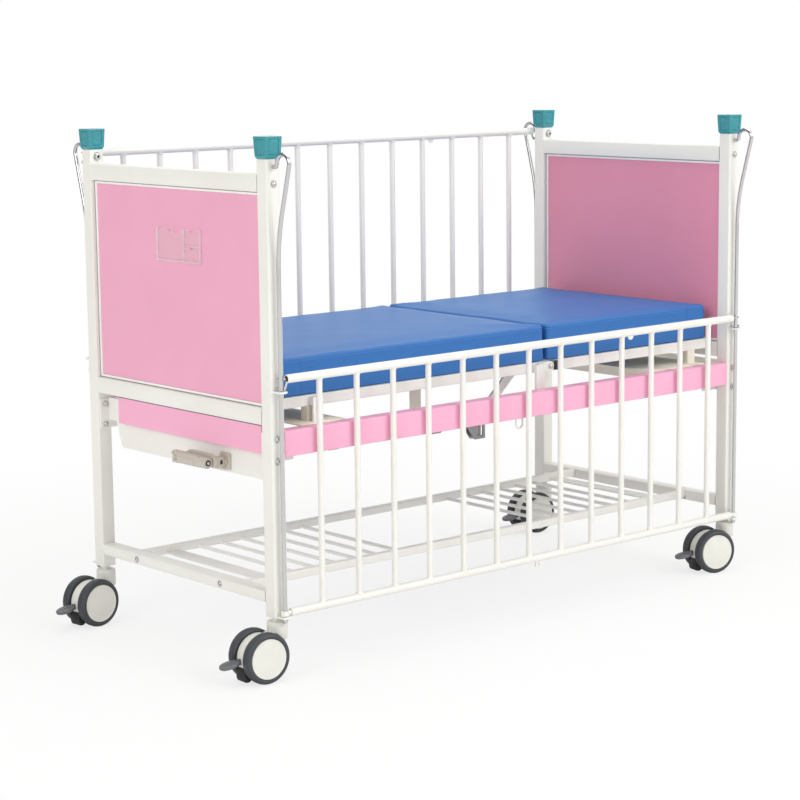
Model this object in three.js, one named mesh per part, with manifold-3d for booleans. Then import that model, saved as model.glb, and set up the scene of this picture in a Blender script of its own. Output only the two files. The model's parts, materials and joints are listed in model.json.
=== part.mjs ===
import * as THREE from "three";
import ManifoldModule from "manifold-3d";

const wasm = await ManifoldModule();
wasm.setup();

// Pediatric hospital cot, in millimetres.
// X runs along the length with the head at +X, Y across the width, Z up from the floor.

// Posts and end frames
const POST_X = 778;
const POST_Y = 353;
const POST_SIZE = 38;
const POST_BOTTOM = 144;
const POST_TOP = 1192;
const WALL = 2;
const GAP = 0.3;
const TOP_RAIL_Z = 1138;
const BOTTOM_RAIL_Z = 609.5;
const LOWER_RAIL_Z = 190;
const END_RAIL_HEIGHT = 40;
const LOWER_RAIL_HEIGHT = 27;
const TRIM_FACE = 7.5;
const TRIM_DEPTH = 18;
const PANEL_THICKNESS = 12;

// Card pocket
const POCKET_WIDTH = 176;
const POCKET_HEIGHT = 80;
const POCKET_DEPTH = 7;
const POCKET_RIM = 6;
const POCKET_Y = -15;
const POCKET_RISE = 105;
const THUMB_RADIUS = 18;

// Corner caps
const CAP_HEIGHT = 50;
const CAP_FLARE = 5;
const CAP_SHOULDER = 2.8;
const CAP_PANEL = 28;
const CAP_PLUG = 8;

// Guide rods and sliding gates
const ROD_RADIUS = 5;
const ROD_OFFSET = 12;
const ROD_FOOT_Z = 133;
const LEAN_Z = 1010;
const HOOK_Z = 1175;
const HOOK_REACH = 77;
const ROD_TAB = 5;
const GATE_HEIGHT = 541;
const GATE_RING = 12;
const GATE_REST_GAP = 2;
const GATE_LIFT = 6.5;
const LOOP_DROP = 29;
const GATE_RAIL_RADIUS = 10;
const BAR_RADIUS = 7.2;
const BAR_COUNT = 13;
const SLIDE_FIT = 0.35;

// Bed frame, deck and backrest hinge
const SIDE_RAIL_BOTTOM = 516;
const SIDE_RAIL_HEIGHT = 60;
const APRON_DROP = 60;
const STRIP_INSET = 73;
const DECK_BOTTOM = 615;
const DECK_TUBE = 26;
const DECK_HALF_WIDTH = 318;
const DECK_END_X = 738;
const HINGE_X = 134;
const HINGE_PIN_RADIUS = 6;
const SLAT_WIDTH = 44;
const SLAT_MARGIN = 60;
const FIRST_SLAT = 150;
const CHEEK_THICKNESS = 7;
const HANGER_THICKNESS = 6;

// Mattress
const MATTRESS_HEIGHT = 94;
const MATTRESS_END_X = 741;
const MATTRESS_SPLIT_X = 130;
const MATTRESS_SPLIT_GAP = 2;
const CUSHION_STEPS = 5;
const CUSHION_PULL = 3;
const CROWN_INSET = 240;

// Crank and backrest drive
const CRANK_Y = -162;
const CRANK_Z = 482;
const CRANK_RADIUS = 130;
const ARM_OVERHANG = 26;
const BEARING_PLATE = 40;
const SHAFT_RADIUS = 6;
const GRIP_LENGTH = 130;
const GRIP_HEIGHT = 28;
const GRIP_HOLLOW = 34;
const HORN_LEAN_DEG = 35;
const HORN_NOSE = 12;
const HORN_THICKNESS = 8;
const HORN_PIN_RADIUS = 6;
const FORK_REACH = 46;
const PUSH_TUBE_LENGTH = 450;
const SCREW_ENGAGEMENT = 240;
const RUN_FIT = 0.08;

// Storage shelf
const SHELF_Y = 215;
const SHELF_RODS = 6;
const SHELF_PITCH = 66;
const SHELF_END = 104;
const SHELF_BAR = 44;
const SHELF_DROP = 3;

// Casters
const WHEEL_RADIUS = 60;
const WHEEL_FACETS = 24;
const WHEEL_WIDTH = 26;
const WHEEL_Y = 30;
const TRAIL = 52;
const FORK_TAIL = 50;
const HOOD_HALF = 26;
const WEB_DROP = 24;
const CASTER_TURNS = { foot_front: -3, foot_rear: 6, head_front: -14, head_rear: -3 };

// Lengths that follow from the sizes above
const HALF = POST_SIZE / 2;
const X_IN = POST_X - HALF;
const X_OUT = POST_X + HALF;
const Y_IN = POST_Y - HALF;
const Y_OUT = POST_Y + HALF;
const ROD_D = HALF + ROD_OFFSET;
const ROD_Y = POST_Y + ROD_D;
const GATE_LOW_Z = POST_BOTTOM + ROD_TAB + GATE_REST_GAP + GATE_RING / 2 + GATE_HEIGHT;
const GATE_TRAVEL = HOOK_Z + GATE_LIFT - GATE_LOW_Z;
const LOOP_Z = GATE_LOW_Z - LOOP_DROP;
const SIDE_RAIL_TOP = SIDE_RAIL_BOTTOM + SIDE_RAIL_HEIGHT;
const DECK_TOP = DECK_BOTTOM + DECK_TUBE;
const HINGE_Z = DECK_BOTTOM + DECK_TUBE / 2;

const root = new THREE.Group();
root.name = "pediatric_hospital_cot";

function finish(colour, roughness, metalness = 0) {
  return new THREE.MeshStandardMaterial({ color: colour, roughness, metalness });
}

const WHITE = finish(0xebece8, 0.4);
const PINK = finish(0xf4b0cf, 0.4);
const PANEL_PINK = finish(0xe6a4c2, 0.5);
const TEAL = finish(0x4f9fac, 0.3);
const CHROME = finish(0xb9bcc0, 0.25, 1);
const STEEL = finish(0x9a9c9e, 0.35, 1);
const CREAM = finish(0xe6e2d8, 0.45);
const TYRE = finish(0x4a4e52, 0.8);
const PEDAL = finish(0x696c70, 0.5);
const VINYL = finish(0x4d86cc, 0.5);
const CLEAR = finish(0xdfe6ea, 0.2);

// Solids and booleans

function toSolid(geometry) {
  const flat = geometry.index ? geometry.toNonIndexed() : geometry;
  const source = flat.attributes.position;
  const seen = new Map();
  const points = [];
  const triangles = [];
  for (let i = 0; i < source.count; i += 1) {
    const p = [source.getX(i), source.getY(i), source.getZ(i)];
    const key = p.map((v) => Math.round(v * 1e4)).join(",");
    if (!seen.has(key)) {
      seen.set(key, points.length / 3);
      points.push(...p);
    }
    triangles.push(seen.get(key));
  }
  const kept = [];
  for (let i = 0; i < triangles.length; i += 3) {
    const [a, b, c] = triangles.slice(i, i + 3);
    if (a !== b && b !== c && c !== a) {
      kept.push(a, b, c);
    }
  }
  const mesh = new wasm.Mesh({
    numProp: 3,
    vertProperties: new Float32Array(points),
    triVerts: new Uint32Array(kept),
  });
  return new wasm.Manifold(mesh);
}

function toGeometry(solid) {
  const mesh = solid.getMesh();
  const geometry = new THREE.BufferGeometry();
  geometry.setAttribute("position", new THREE.BufferAttribute(new Float32Array(mesh.vertProperties), 3));
  geometry.setIndex(new THREE.BufferAttribute(new Uint32Array(mesh.triVerts), 1));
  geometry.computeVertexNormals();
  return geometry;
}

function join(...parts) {
  return parts.flat().reduce((whole, part) => whole.add(part));
}

function add(name, solid, material) {
  const mesh = new THREE.Mesh(toGeometry(solid), material);
  mesh.name = name;
  root.add(mesh);
}

// Moves a solid by a matrix
function placed(solid, matrix) {
  return toSolid(toGeometry(solid).applyMatrix4(matrix));
}

// A box given by its limits, in any order
function box(x0, x1, y0, y1, z0, z1) {
  const size = [Math.abs(x1 - x0), Math.abs(y1 - y0), Math.abs(z1 - z0)];
  const geometry = new THREE.BoxGeometry(...size);
  geometry.translate((x0 + x1) / 2, (y0 + y1) / 2, (z0 + z1) / 2);
  return toSolid(geometry);
}

// Turns a shape drawn in a plane and extruded along +Z so that it runs along the named axis
function lay(geometry, axis) {
  const basis = {
    x: new THREE.Matrix4().set(0, 0, 1, 0, 1, 0, 0, 0, 0, 1, 0, 0, 0, 0, 0, 1),
    y: new THREE.Matrix4().set(0, 1, 0, 0, 0, 0, 1, 0, 1, 0, 0, 0, 0, 0, 0, 1),
    z: new THREE.Matrix4(),
  };
  geometry.applyMatrix4(basis[axis]);
  return geometry;
}

// Axis x takes [y, z] points, y takes [z, x] points and z takes [x, y] points
function prism(axis, points, from, to) {
  const shape = new THREE.Shape(points.map((p) => new THREE.Vector2(p[0], p[1])));
  const geometry = new THREE.ExtrudeGeometry(shape, { depth: to - from, bevelEnabled: false });
  geometry.translate(0, 0, from);
  return toSolid(lay(geometry, axis));
}

function circle(u, v, radius, sides) {
  const points = [];
  for (let i = 0; i < sides; i += 1) {
    const angle = (2 * Math.PI * (i + 0.5)) / sides;
    points.push([u + radius * Math.cos(angle), v + radius * Math.sin(angle)]);
  }
  return points;
}

function rod(axis, u, v, radius, from, to, sides = 20) {
  return prism(axis, circle(u, v, radius, sides), from, to);
}

// A bore whose flats clear a round shaft by the running fit
function bore(axis, u, v, shaft, from, to, sides = 16) {
  const radius = (shaft + RUN_FIT) / Math.cos(Math.PI / sides);
  return rod(axis, u, v, radius, from, to, sides);
}

// Convex outline around a set of points
function hull(points) {
  const sorted = [...points].sort((a, b) => a[0] - b[0] || a[1] - b[1]);
  const turn = (a, b, c) => (b[0] - a[0]) * (c[1] - a[1]) - (b[1] - a[1]) * (c[0] - a[0]);
  const chain = (list) => {
    const kept = [];
    for (const p of list) {
      while (kept.length > 1 && turn(kept[kept.length - 2], kept[kept.length - 1], p) <= 0) {
        kept.pop();
      }
      kept.push(p);
    }
    return kept.slice(0, -1);
  };
  return [...chain(sorted), ...chain(sorted.reverse())];
}

function roundedRect(u, v, width, height, radius, steps = 2) {
  const points = [];
  const corners = [[1, 1, 0], [-1, 1, 90], [-1, -1, 180], [1, -1, 270]];
  for (const [su, sv, start] of corners) {
    for (let i = 0; i <= steps; i += 1) {
      const angle = THREE.MathUtils.degToRad(start + (90 * i) / steps);
      points.push([
        u + su * (width / 2 - radius) + radius * Math.cos(angle),
        v + sv * (height / 2 - radius) + radius * Math.sin(angle),
      ]);
    }
  }
  return points;
}

// Hollow rectangular tube along an axis
function tube(axis, u, v, width, height, from, to) {
  const outer = prism(axis, roundedRect(u, v, width, height, 3), from, to);
  const hollow = roundedRect(u, v, width - 2 * WALL, height - 2 * WALL, 1, 1);
  return outer.subtract(prism(axis, hollow, from - 1, to + 1));
}

// Round bar bent along a path of [x, y, z] points
function bentRod(path, radius, sides = 10) {
  const points = path.map((p) => new THREE.Vector3(...p));
  const count = points.length;
  const along = [];
  for (let i = 0; i < count; i += 1) {
    const before = points[Math.max(i - 1, 0)];
    const after = points[Math.min(i + 1, count - 1)];
    const first = points[i].clone().sub(before).normalize();
    const second = after.clone().sub(points[i]).normalize();
    along.push(first.add(second).normalize());
  }
  const start = along[0];
  const side = Math.abs(start.x) < 0.9 ? new THREE.Vector3(1, 0, 0) : new THREE.Vector3(0, 1, 0);
  let u = side.clone().cross(start).normalize();
  const vertices = [];
  for (let i = 0; i < count; i += 1) {
    if (i > 0) {
      const turn = new THREE.Quaternion().setFromUnitVectors(along[i - 1], along[i]);
      u = u.applyQuaternion(turn).normalize();
    }
    const w = along[i].clone().cross(u);
    for (let k = 0; k < sides; k += 1) {
      const angle = (2 * Math.PI * (k + 0.5)) / sides;
      const point = points[i].clone();
      point.addScaledVector(u, radius * Math.cos(angle));
      point.addScaledVector(w, radius * Math.sin(angle));
      vertices.push(point);
    }
  }
  return skin(vertices, count, sides);
}

// Closes a stack of rings of equal point count into one body, with a fan at each end
function skin(vertices, rings, sides) {
  const positions = [];
  const middle = (ring) => {
    const sum = new THREE.Vector3();
    for (let k = 0; k < sides; k += 1) {
      sum.add(vertices[ring * sides + k]);
    }
    return sum.divideScalar(sides);
  };
  const triangle = (a, b, c) => {
    positions.push(...a.toArray(), ...b.toArray(), ...c.toArray());
  };
  for (let i = 0; i + 1 < rings; i += 1) {
    for (let k = 0; k < sides; k += 1) {
      const next = (k + 1) % sides;
      const a = vertices[i * sides + k];
      const b = vertices[i * sides + next];
      const c = vertices[(i + 1) * sides + next];
      const d = vertices[(i + 1) * sides + k];
      triangle(a, b, c);
      triangle(a, c, d);
    }
  }
  const low = middle(0);
  const high = middle(rings - 1);
  for (let k = 0; k < sides; k += 1) {
    const next = (k + 1) % sides;
    triangle(low, vertices[next], vertices[k]);
    triangle(high, vertices[(rings - 1) * sides + k], vertices[(rings - 1) * sides + next]);
  }
  const geometry = new THREE.BufferGeometry();
  geometry.setAttribute("position", new THREE.Float32BufferAttribute(positions, 3));
  return toSolid(geometry);
}

// Corner posts, with the gate stop loop and the foot that holds the guide rod

function post(sx, sy) {
  const x = sx * POST_X;
  const y = sy * POST_Y;
  const body = tube("z", x, y, POST_SIZE, POST_SIZE, POST_BOTTOM, POST_TOP);
  const sole = box(x - HALF + 1, x + HALF - 1, y - HALF + 1, y + HALF - 1, POST_BOTTOM, POST_BOTTOM + 6);
  const reach = 12;
  const loop = [[x - reach, sy * (Y_OUT - 1.2), LOOP_Z], [x - reach, sy * (ROD_Y + 2), LOOP_Z]];
  for (let i = 1; i < 6; i += 1) {
    const angle = (Math.PI * i) / 6;
    const out = ROD_Y + 2 + reach * Math.sin(angle);
    loop.push([x - reach * Math.cos(angle), sy * out, LOOP_Z]);
  }
  loop.push([x + reach, sy * (ROD_Y + 2), LOOP_Z], [x + reach, sy * (Y_OUT - 1.2), LOOP_Z]);
  const tabTop = POST_BOTTOM + ROD_TAB;
  const foot = box(x - reach, x + reach, sy * (Y_OUT - 1), sy * (ROD_Y + 11), POST_BOTTOM, tabTop);
  const holes = join(
    rod("z", x, sy * ROD_Y, ROD_RADIUS + 2 * GAP, POST_BOTTOM - 5, POST_BOTTOM + 10, 12),
    bore("z", x, y, SHAFT_RADIUS, POST_BOTTOM - 5, POST_BOTTOM + 10),
    rod("y", HOOK_Z, x, ROD_RADIUS + 2 * GAP, y - POST_SIZE, y + POST_SIZE, 12),
  );
  return join(body, sole, bentRod(loop, 2.5, 6), foot).subtract(holes);
}

// Shepherd's crook: straight, leaning out near the top, then arched back into the post
function guideRod(sx, sy) {
  const path = [[ROD_D, ROD_FOOT_Z], [ROD_D, LEAN_Z - 6], [ROD_D + 1.5, LEAN_Z + 6]];
  const bend = 8;
  const inner = HALF + 6 + bend;
  const middle = (HOOK_REACH + inner) / 2;
  const swing = (HOOK_REACH - inner) / 2;
  const spring = HOOK_Z + bend;
  path.push([HOOK_REACH - 2, spring - 7]);
  for (let i = 0; i <= 9; i += 1) {
    const angle = (Math.PI * i) / 9;
    path.push([middle + swing * Math.cos(angle), spring + (swing - 2) * Math.sin(angle)]);
  }
  for (let i = 1; i <= 4; i += 1) {
    const angle = (Math.PI / 2) * (i / 4);
    path.push([inner - bend + bend * Math.cos(angle), spring - bend * Math.sin(angle)]);
  }
  path.push([-HALF - 7, HOOK_Z]);
  const line = path.map(([d, z]) => [sx * POST_X, sy * (POST_Y + d), z]);
  return bentRod(line, ROD_RADIUS, 8);
}

function cap(sx, sy) {
  const x = sx * POST_X;
  const y = sy * POST_Y;
  const layers = [
    [0, HALF],
    [5, HALF + CAP_SHOULDER],
    [CAP_HEIGHT - 3, HALF + CAP_FLARE],
    [CAP_HEIGHT, HALF + CAP_FLARE - 1.5],
  ];
  const vertices = [];
  for (const [z, half] of layers) {
    for (const [u, v] of roundedRect(x, y, 2 * half, 2 * half, 5, 2)) {
      vertices.push(new THREE.Vector3(u, v, POST_TOP + GAP + z));
    }
  }
  let body = skin(vertices, layers.length, vertices.length / layers.length);
  const slope = (CAP_FLARE - CAP_SHOULDER) / (CAP_HEIGHT - 8);
  const low = POST_TOP + 9;
  const high = POST_TOP + CAP_HEIGHT - 6;
  const lowDepth = HALF + CAP_SHOULDER + slope * 4 - 1.1;
  const highDepth = lowDepth + slope * (high - low);
  const outline = [[low, lowDepth], [low, HALF + 10], [high, HALF + 10], [high, highDepth]];
  for (let face = 0; face < 4; face += 1) {
    const turn = new THREE.Matrix4().makeRotationZ((face * Math.PI) / 2);
    turn.setPosition(x, y, 0);
    const recess = prism("y", outline, -CAP_PANEL / 2, CAP_PANEL / 2);
    body = body.subtract(placed(recess, turn));
  }
  const plugHalf = HALF - WALL - GAP;
  const top = POST_TOP + 1;
  const plugShape = roundedRect(x, y, 2 * plugHalf, 2 * plugHalf, 2, 1);
  const plug = prism("z", plugShape, POST_TOP - CAP_PLUG, top);
  return join(body, plug);
}

// Round-bar gate with rings on the bottom rail and open claws under the top rail
function gate(sy, topZ) {
  const y = sy * ROD_Y;
  const bottomZ = topZ - GATE_HEIGHT;
  const end = POST_X - ROD_RADIUS - 11;
  const parts = [
    rod("x", y, topZ, GATE_RAIL_RADIUS, -end, end, 12),
    rod("x", y, bottomZ, GATE_RAIL_RADIUS, -end, end, 12),
  ];
  const pitch = (2 * POST_X) / (BAR_COUNT + 1);
  for (let i = 1; i <= BAR_COUNT; i += 1) {
    parts.push(rod("z", -POST_X + pitch * i, y, BAR_RADIUS, bottomZ, topZ, 8));
  }
  const tab = circle(topZ - GATE_RAIL_RADIUS, POST_X * 0.47, 9.5, 12);
  parts.push(prism("y", tab, y - 2, y + 2));
  const lug = [bottomZ - 14, POST_X * 0.04];
  const lugPlate = prism("y", roundedRect(lug[0], lug[1], 28, 20, 9.5, 2), y - 2, y + 2);
  parts.push(lugPlate.subtract(rod("y", lug[0] - 4, lug[1], 4, y - 5, y + 5, 12)));
  const holes = [];
  const grip = ROD_RADIUS + SLIDE_FIT;
  for (const sx of [-1, 1]) {
    const x = sx * POST_X;
    parts.push(rod("z", x, y, grip + 4.6, bottomZ - GATE_RING / 2, bottomZ + GATE_RING / 2, 16));
    const stubFrom = sx * (end - 3);
    const stubTo = sx * (POST_X - grip - 1.5);
    parts.push(rod("x", y, bottomZ, 5.5, Math.min(stubFrom, stubTo), Math.max(stubFrom, stubTo), 10));
    holes.push(rod("z", x, y, grip / Math.cos(Math.PI / 16), bottomZ - 9, bottomZ + 9, 16));
    const clawZ = LOOP_Z + 2.5 + 0.6 + topZ - GATE_LOW_Z;
    const inward = sy * (ROD_Y - grip - 4);
    const outward = sy * (ROD_Y + 6);
    parts.push(box(x - grip - 4.5, x + grip + 4.5, inward, outward, clawZ, clawZ + 8));
    holes.push(box(x - grip, x + grip, sy * (ROD_Y - grip), sy * (ROD_Y + 9), clawZ - 2, clawZ + 10));
    const near = sx * (POST_X - grip - 2.5);
    const far = sx * (end - 10);
    parts.push(box(near, far, y - 4, y + 4, clawZ, topZ));
  }
  return join(parts).subtract(join(holes));
}

for (const [sx, end] of [[-1, "foot"], [1, "head"]]) {
  for (const [sy, side] of [[-1, "front"], [1, "rear"]]) {
    add(`post_${end}_${side}`, post(sx, sy), WHITE);
    add(`guide_rod_${end}_${side}`, guideRod(sx, sy), CHROME);
    add(`corner_cap_${end}_${side}`, cap(sx, sy), TEAL);
  }
}
add("front_gate", gate(-1, GATE_LOW_Z), WHITE);
add("rear_gate", gate(1, GATE_LOW_Z + GATE_TRAVEL), WHITE);

// End frames: three rails between the posts, a panel and its trim

function endRail(sx, z, height) {
  const reach = Y_IN - GAP;
  return tube("y", z, sx * POST_X, height, POST_SIZE, -reach, reach);
}

function panelTrim(sx) {
  const low = BOTTOM_RAIL_Z + END_RAIL_HEIGHT / 2 + GAP;
  const high = TOP_RAIL_Z - END_RAIL_HEIGHT / 2 - GAP;
  const side = Y_IN - GAP;
  const from = sx * (POST_X - TRIM_DEPTH / 2);
  const to = sx * (POST_X + TRIM_DEPTH / 2);
  const frame = box(from, to, -side, side, low, high);
  const inSide = side - TRIM_FACE;
  const opening = box(from - sx * 20, to + sx * 20, -inSide, inSide, low + TRIM_FACE, high - TRIM_FACE);
  return frame.subtract(opening);
}

function panel(sx) {
  const low = BOTTOM_RAIL_Z + END_RAIL_HEIGHT / 2 + 2 * GAP + TRIM_FACE;
  const high = TOP_RAIL_Z - END_RAIL_HEIGHT / 2 - 2 * GAP - TRIM_FACE;
  const side = Y_IN - 2 * GAP - TRIM_FACE;
  const half = PANEL_THICKNESS / 2;
  return box(sx * POST_X - half, sx * POST_X + half, -side, side, low, high);
}

for (const [sx, end] of [[-1, "foot"], [1, "head"]]) {
  add(`${end}_top_rail`, endRail(sx, TOP_RAIL_Z, END_RAIL_HEIGHT), WHITE);
  add(`${end}_bottom_rail`, endRail(sx, BOTTOM_RAIL_Z, END_RAIL_HEIGHT), WHITE);
  add(`${end}_lower_rail`, endRail(sx, LOWER_RAIL_Z, LOWER_RAIL_HEIGHT), WHITE);
  add(`${end}_panel_trim`, panelTrim(sx), WHITE);
  add(`${end}_panel`, panel(sx), PANEL_PINK);
}

// Card pocket on the foot panel, open at the top, with a thumb cut in its front sheet
function cardPocket() {
  const back = -POST_X - PANEL_THICKNESS / 2 - GAP;
  const front = back - POCKET_DEPTH;
  const middle = (TOP_RAIL_Z + BOTTOM_RAIL_Z) / 2 + POCKET_RISE;
  const low = middle - POCKET_HEIGHT / 2;
  const high = middle + POCKET_HEIGHT / 2;
  const half = POCKET_WIDTH / 2;
  const inner = half - POCKET_RIM;
  const body = box(front, back, POCKET_Y - half, POCKET_Y + half, low, high);
  const slot = box(front + 2.4, back - 2, POCKET_Y - inner, POCKET_Y + inner, low + POCKET_RIM, high + 1);
  const thumb = rod("x", POCKET_Y, high + 4, THUMB_RADIUS, front - 1, back - 3, 20);
  return body.subtract(join(slot, thumb));
}
add("card_pocket", cardPocket(), CLEAR);

// Bed frame

function sideRail(sy) {
  const reach = X_IN - GAP;
  const z = SIDE_RAIL_BOTTOM + SIDE_RAIL_HEIGHT / 2;
  const body = tube("x", sy * POST_Y, z, POST_SIZE, SIDE_RAIL_HEIGHT, -reach, reach);
  const y = sy * (Y_OUT - 9);
  const x = -13;
  const loop = [[x - 11, y, SIDE_RAIL_BOTTOM + 1]];
  for (let i = 0; i <= 6; i += 1) {
    const angle = (Math.PI * i) / 6;
    loop.push([x - 11 * Math.cos(angle), y, SIDE_RAIL_BOTTOM - 14 - 11 * Math.sin(angle)]);
  }
  loop.push([x + 11, y, SIDE_RAIL_BOTTOM + 1]);
  return join(body, bentRod(loop, 2.5, 8));
}

function bracket(sx, sy) {
  const from = sx * (POST_X - 72);
  const to = sx * (POST_X + 16);
  const y = Y_IN - GAP;
  return box(from, to, sy * y, sy * (y - 5), SIDE_RAIL_BOTTOM - 16, SIDE_RAIL_TOP - 3);
}

for (const [sy, side] of [[-1, "front"], [1, "rear"]]) {
  add(`side_rail_${side}`, sideRail(sy), PINK);
  for (const [sx, end] of [[-1, "foot"], [1, "head"]]) {
    add(`corner_bracket_${end}_${side}`, bracket(sx, sy), WHITE);
  }
}

const apronSide = Y_IN - 2 * GAP - 5;
const apronX = -POST_X + 7;
const apronLow = SIDE_RAIL_BOTTOM - APRON_DROP;
const apronShape = [
  [-apronSide, SIDE_RAIL_TOP],
  [-apronSide, apronLow + 10],
  [-apronSide + 10, apronLow],
  [apronSide - 57, apronLow],
  [apronSide - 33, SIDE_RAIL_BOTTOM + 4],
  [apronSide, SIDE_RAIL_BOTTOM + 4],
  [apronSide, SIDE_RAIL_TOP],
];
const shaftHole = bore("x", CRANK_Y, CRANK_Z, SHAFT_RADIUS, -X_OUT - POST_SIZE, -X_IN + POST_SIZE);
add("crank_apron", prism("x", apronShape, apronX, apronX + 4).subtract(shaftHole), WHITE);

const stripFront = -POST_X - 12;
const stripTop = BOTTOM_RAIL_Z - END_RAIL_HEIGHT / 2 - GAP;
add(
  "foot_cross_rail",
  box(stripFront, apronX - GAP, 4 - apronSide, apronSide - STRIP_INSET, SIDE_RAIL_BOTTOM + 6, stripTop),
  PINK,
);
add(
  "head_cross_rail",
  box(POST_X - 7, POST_X + 12, -apronSide, apronSide, SIDE_RAIL_BOTTOM + 6, SIDE_RAIL_TOP + 2),
  WHITE,
);

// Support plate under the backrest, resting on the side rails
function supportPlate() {
  const from = DECK_END_X * 0.65;
  const to = DECK_END_X * 0.94;
  const z = SIDE_RAIL_TOP + GAP;
  const parts = [box(from, to, -Y_IN - 14, Y_IN + 14, z, z + 4)];
  for (const x of [from + 2, to - 6]) {
    parts.push(box(x, x + 4, -Y_IN + 4, Y_IN - 4, z - 22, z + 2));
  }
  for (const sy of [-1, 1]) {
    const outer = sy * DECK_HALF_WIDTH;
    const inner = sy * (DECK_HALF_WIDTH - 25);
    parts.push(box(to - 34, to - 6, outer, inner, z + 2, DECK_BOTTOM - GAP));
  }
  return join(parts);
}
add("head_support_plate", supportPlate(), CREAM);

// Deck in two sections, hinged where the mattress divides

function slats(from, to, count) {
  const parts = [];
  const side = DECK_HALF_WIDTH - 12;
  for (let i = 0; i < count; i += 1) {
    const x = from + ((to - from) * i) / (count - 1);
    const half = SLAT_WIDTH / 2;
    parts.push(box(x - half, x + half, -side, side, DECK_TOP - 8, DECK_TOP));
  }
  return parts;
}

function footDeck() {
  const parts = slats(-DECK_END_X + SLAT_MARGIN, HINGE_X - SLAT_MARGIN - 2, 7);
  const tubeY = DECK_HALF_WIDTH - 12.5;
  const stop = HINGE_X - 18;
  const padFrom = -DECK_END_X * 0.94;
  const padTo = -DECK_END_X * 0.76;
  const padZ = SIDE_RAIL_TOP + GAP;
  parts.push(box(-DECK_END_X, -DECK_END_X + 25, -tubeY, tubeY, DECK_BOTTOM, DECK_TOP));
  for (const sy of [-1, 1]) {
    const outer = sy * DECK_HALF_WIDTH;
    const inside = sy * (DECK_HALF_WIDTH - 25);
    parts.push(box(-DECK_END_X, stop, outer, inside, DECK_BOTTOM, DECK_TOP));
    for (const x of [-DECK_END_X + 108, HINGE_X - 42]) {
      const wall = sy * (Y_IN - GAP);
      const face = wall - sy * HANGER_THICKNESS;
      parts.push(box(x - 15, x + 15, face, wall, SIDE_RAIL_BOTTOM + 18, DECK_TOP - 4));
      parts.push(box(x - 14, x + 14, outer - sy, wall - sy, DECK_BOTTOM + 2, DECK_TOP - 5));
    }
    const eye = sy * (DECK_HALF_WIDTH + GAP);
    const cheek = sy * (DECK_HALF_WIDTH + CHEEK_THICKNESS);
    parts.push(box(HINGE_X - 40, HINGE_X + 13, eye, cheek, HINGE_Z - 12, HINGE_Z + 12));
    parts.push(box(HINGE_X - 39, stop - 2, outer - sy, cheek - sy, HINGE_Z - 11, HINGE_Z + 11));
    parts.push(box(padFrom + 44, padFrom + 72, outer, inside, padZ + 2, DECK_BOTTOM + 1));
  }
  parts.push(box(padFrom, padTo, -Y_IN - 14, Y_IN + 14, padZ, padZ + 4));
  const pinHole = bore("y", HINGE_Z, HINGE_X, HINGE_PIN_RADIUS, -Y_IN - 9, Y_IN + 9);
  return join(parts).subtract(pinHole);
}
add("foot_deck", footDeck(), WHITE);

const hornLean = THREE.MathUtils.degToRad(HORN_LEAN_DEG);
const hornLength = (HINGE_Z - CRANK_Z) / Math.cos(hornLean);
const hornX = HINGE_X - hornLength * Math.sin(hornLean);

function backrestDeck() {
  const start = HINGE_X + 26;
  const parts = slats(HINGE_X + FIRST_SLAT, DECK_END_X - SLAT_MARGIN, 4);
  const tubeY = DECK_HALF_WIDTH - 12.5;
  const crossEnd = start + 26;
  parts.push(box(start, crossEnd, -tubeY, tubeY, DECK_BOTTOM, DECK_TOP));
  parts.push(box(DECK_END_X - 25, DECK_END_X, -tubeY, tubeY, DECK_BOTTOM, DECK_TOP));
  for (const sy of [-1, 1]) {
    const outer = sy * DECK_HALF_WIDTH;
    const inner = sy * (DECK_HALF_WIDTH - 25);
    parts.push(box(start, DECK_END_X, outer, inner, DECK_BOTTOM, DECK_TOP));
    parts.push(box(HINGE_X, start + 2, outer, inner, DECK_BOTTOM, HINGE_Z + 5));
    const low = Math.min(outer, inner);
    const high = Math.max(outer, inner);
    parts.push(rod("y", HINGE_Z, HINGE_X, DECK_TUBE / 2, low, high, 20));
    const tip = sy * (DECK_HALF_WIDTH + CHEEK_THICKNESS + 1);
    const root0 = sy * (DECK_HALF_WIDTH - 2);
    const pinLow = Math.min(tip, root0);
    const pinHigh = Math.max(tip, root0);
    parts.push(rod("y", HINGE_Z, HINGE_X, HINGE_PIN_RADIUS, pinLow, pinHigh, 16));
  }
  const nose = circle(CRANK_Z, hornX, HORN_NOSE, 16);
  const shoulder = [[DECK_BOTTOM + 4, start + 1], [DECK_BOTTOM + 4, crossEnd - 1]];
  shoulder.push([DECK_BOTTOM - 8, crossEnd - 1]);
  const blade = HORN_THICKNESS / 2;
  parts.push(prism("y", hull([...nose, ...shoulder]), CRANK_Y - blade, CRANK_Y + blade));
  parts.push(rod("y", CRANK_Z, hornX, HORN_PIN_RADIUS, CRANK_Y - 16, CRANK_Y + 16, 20));
  return join(parts);
}
add("backrest_deck", backrestDeck(), WHITE);

// Mattress cushions: drawn-in sides, a piped seam near the top and a crowned face

function cushion(x0, x1, halfWidth, bottom, height) {
  const top = bottom + height;
  const profile = [
    [16, bottom],
    [5, bottom + 2],
    [0, bottom + 9],
    [2.5, bottom + height * 0.3],
    [4, bottom + height * 0.5],
    [2.5, top - 30],
    [1.5, top - 21],
    [3.2, top - 19],
    [0, top - 15.5],
    [2.6, top - 12],
    [5, top - 9.5],
    [14, top - 5],
    [40, top - 2],
    [90, top - 0.8],
    [CROWN_INSET * 0.65, top - 0.2],
    [CROWN_INSET, top],
  ];
  const vertices = [];
  for (const [inset, z] of profile) {
    for (const [u, v] of cushionOutline(x0 + inset, x1 - inset, halfWidth - inset, inset)) {
      vertices.push(new THREE.Vector3(u, v, z));
    }
  }
  return skin(vertices, profile.length, vertices.length / profile.length);
}

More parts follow.
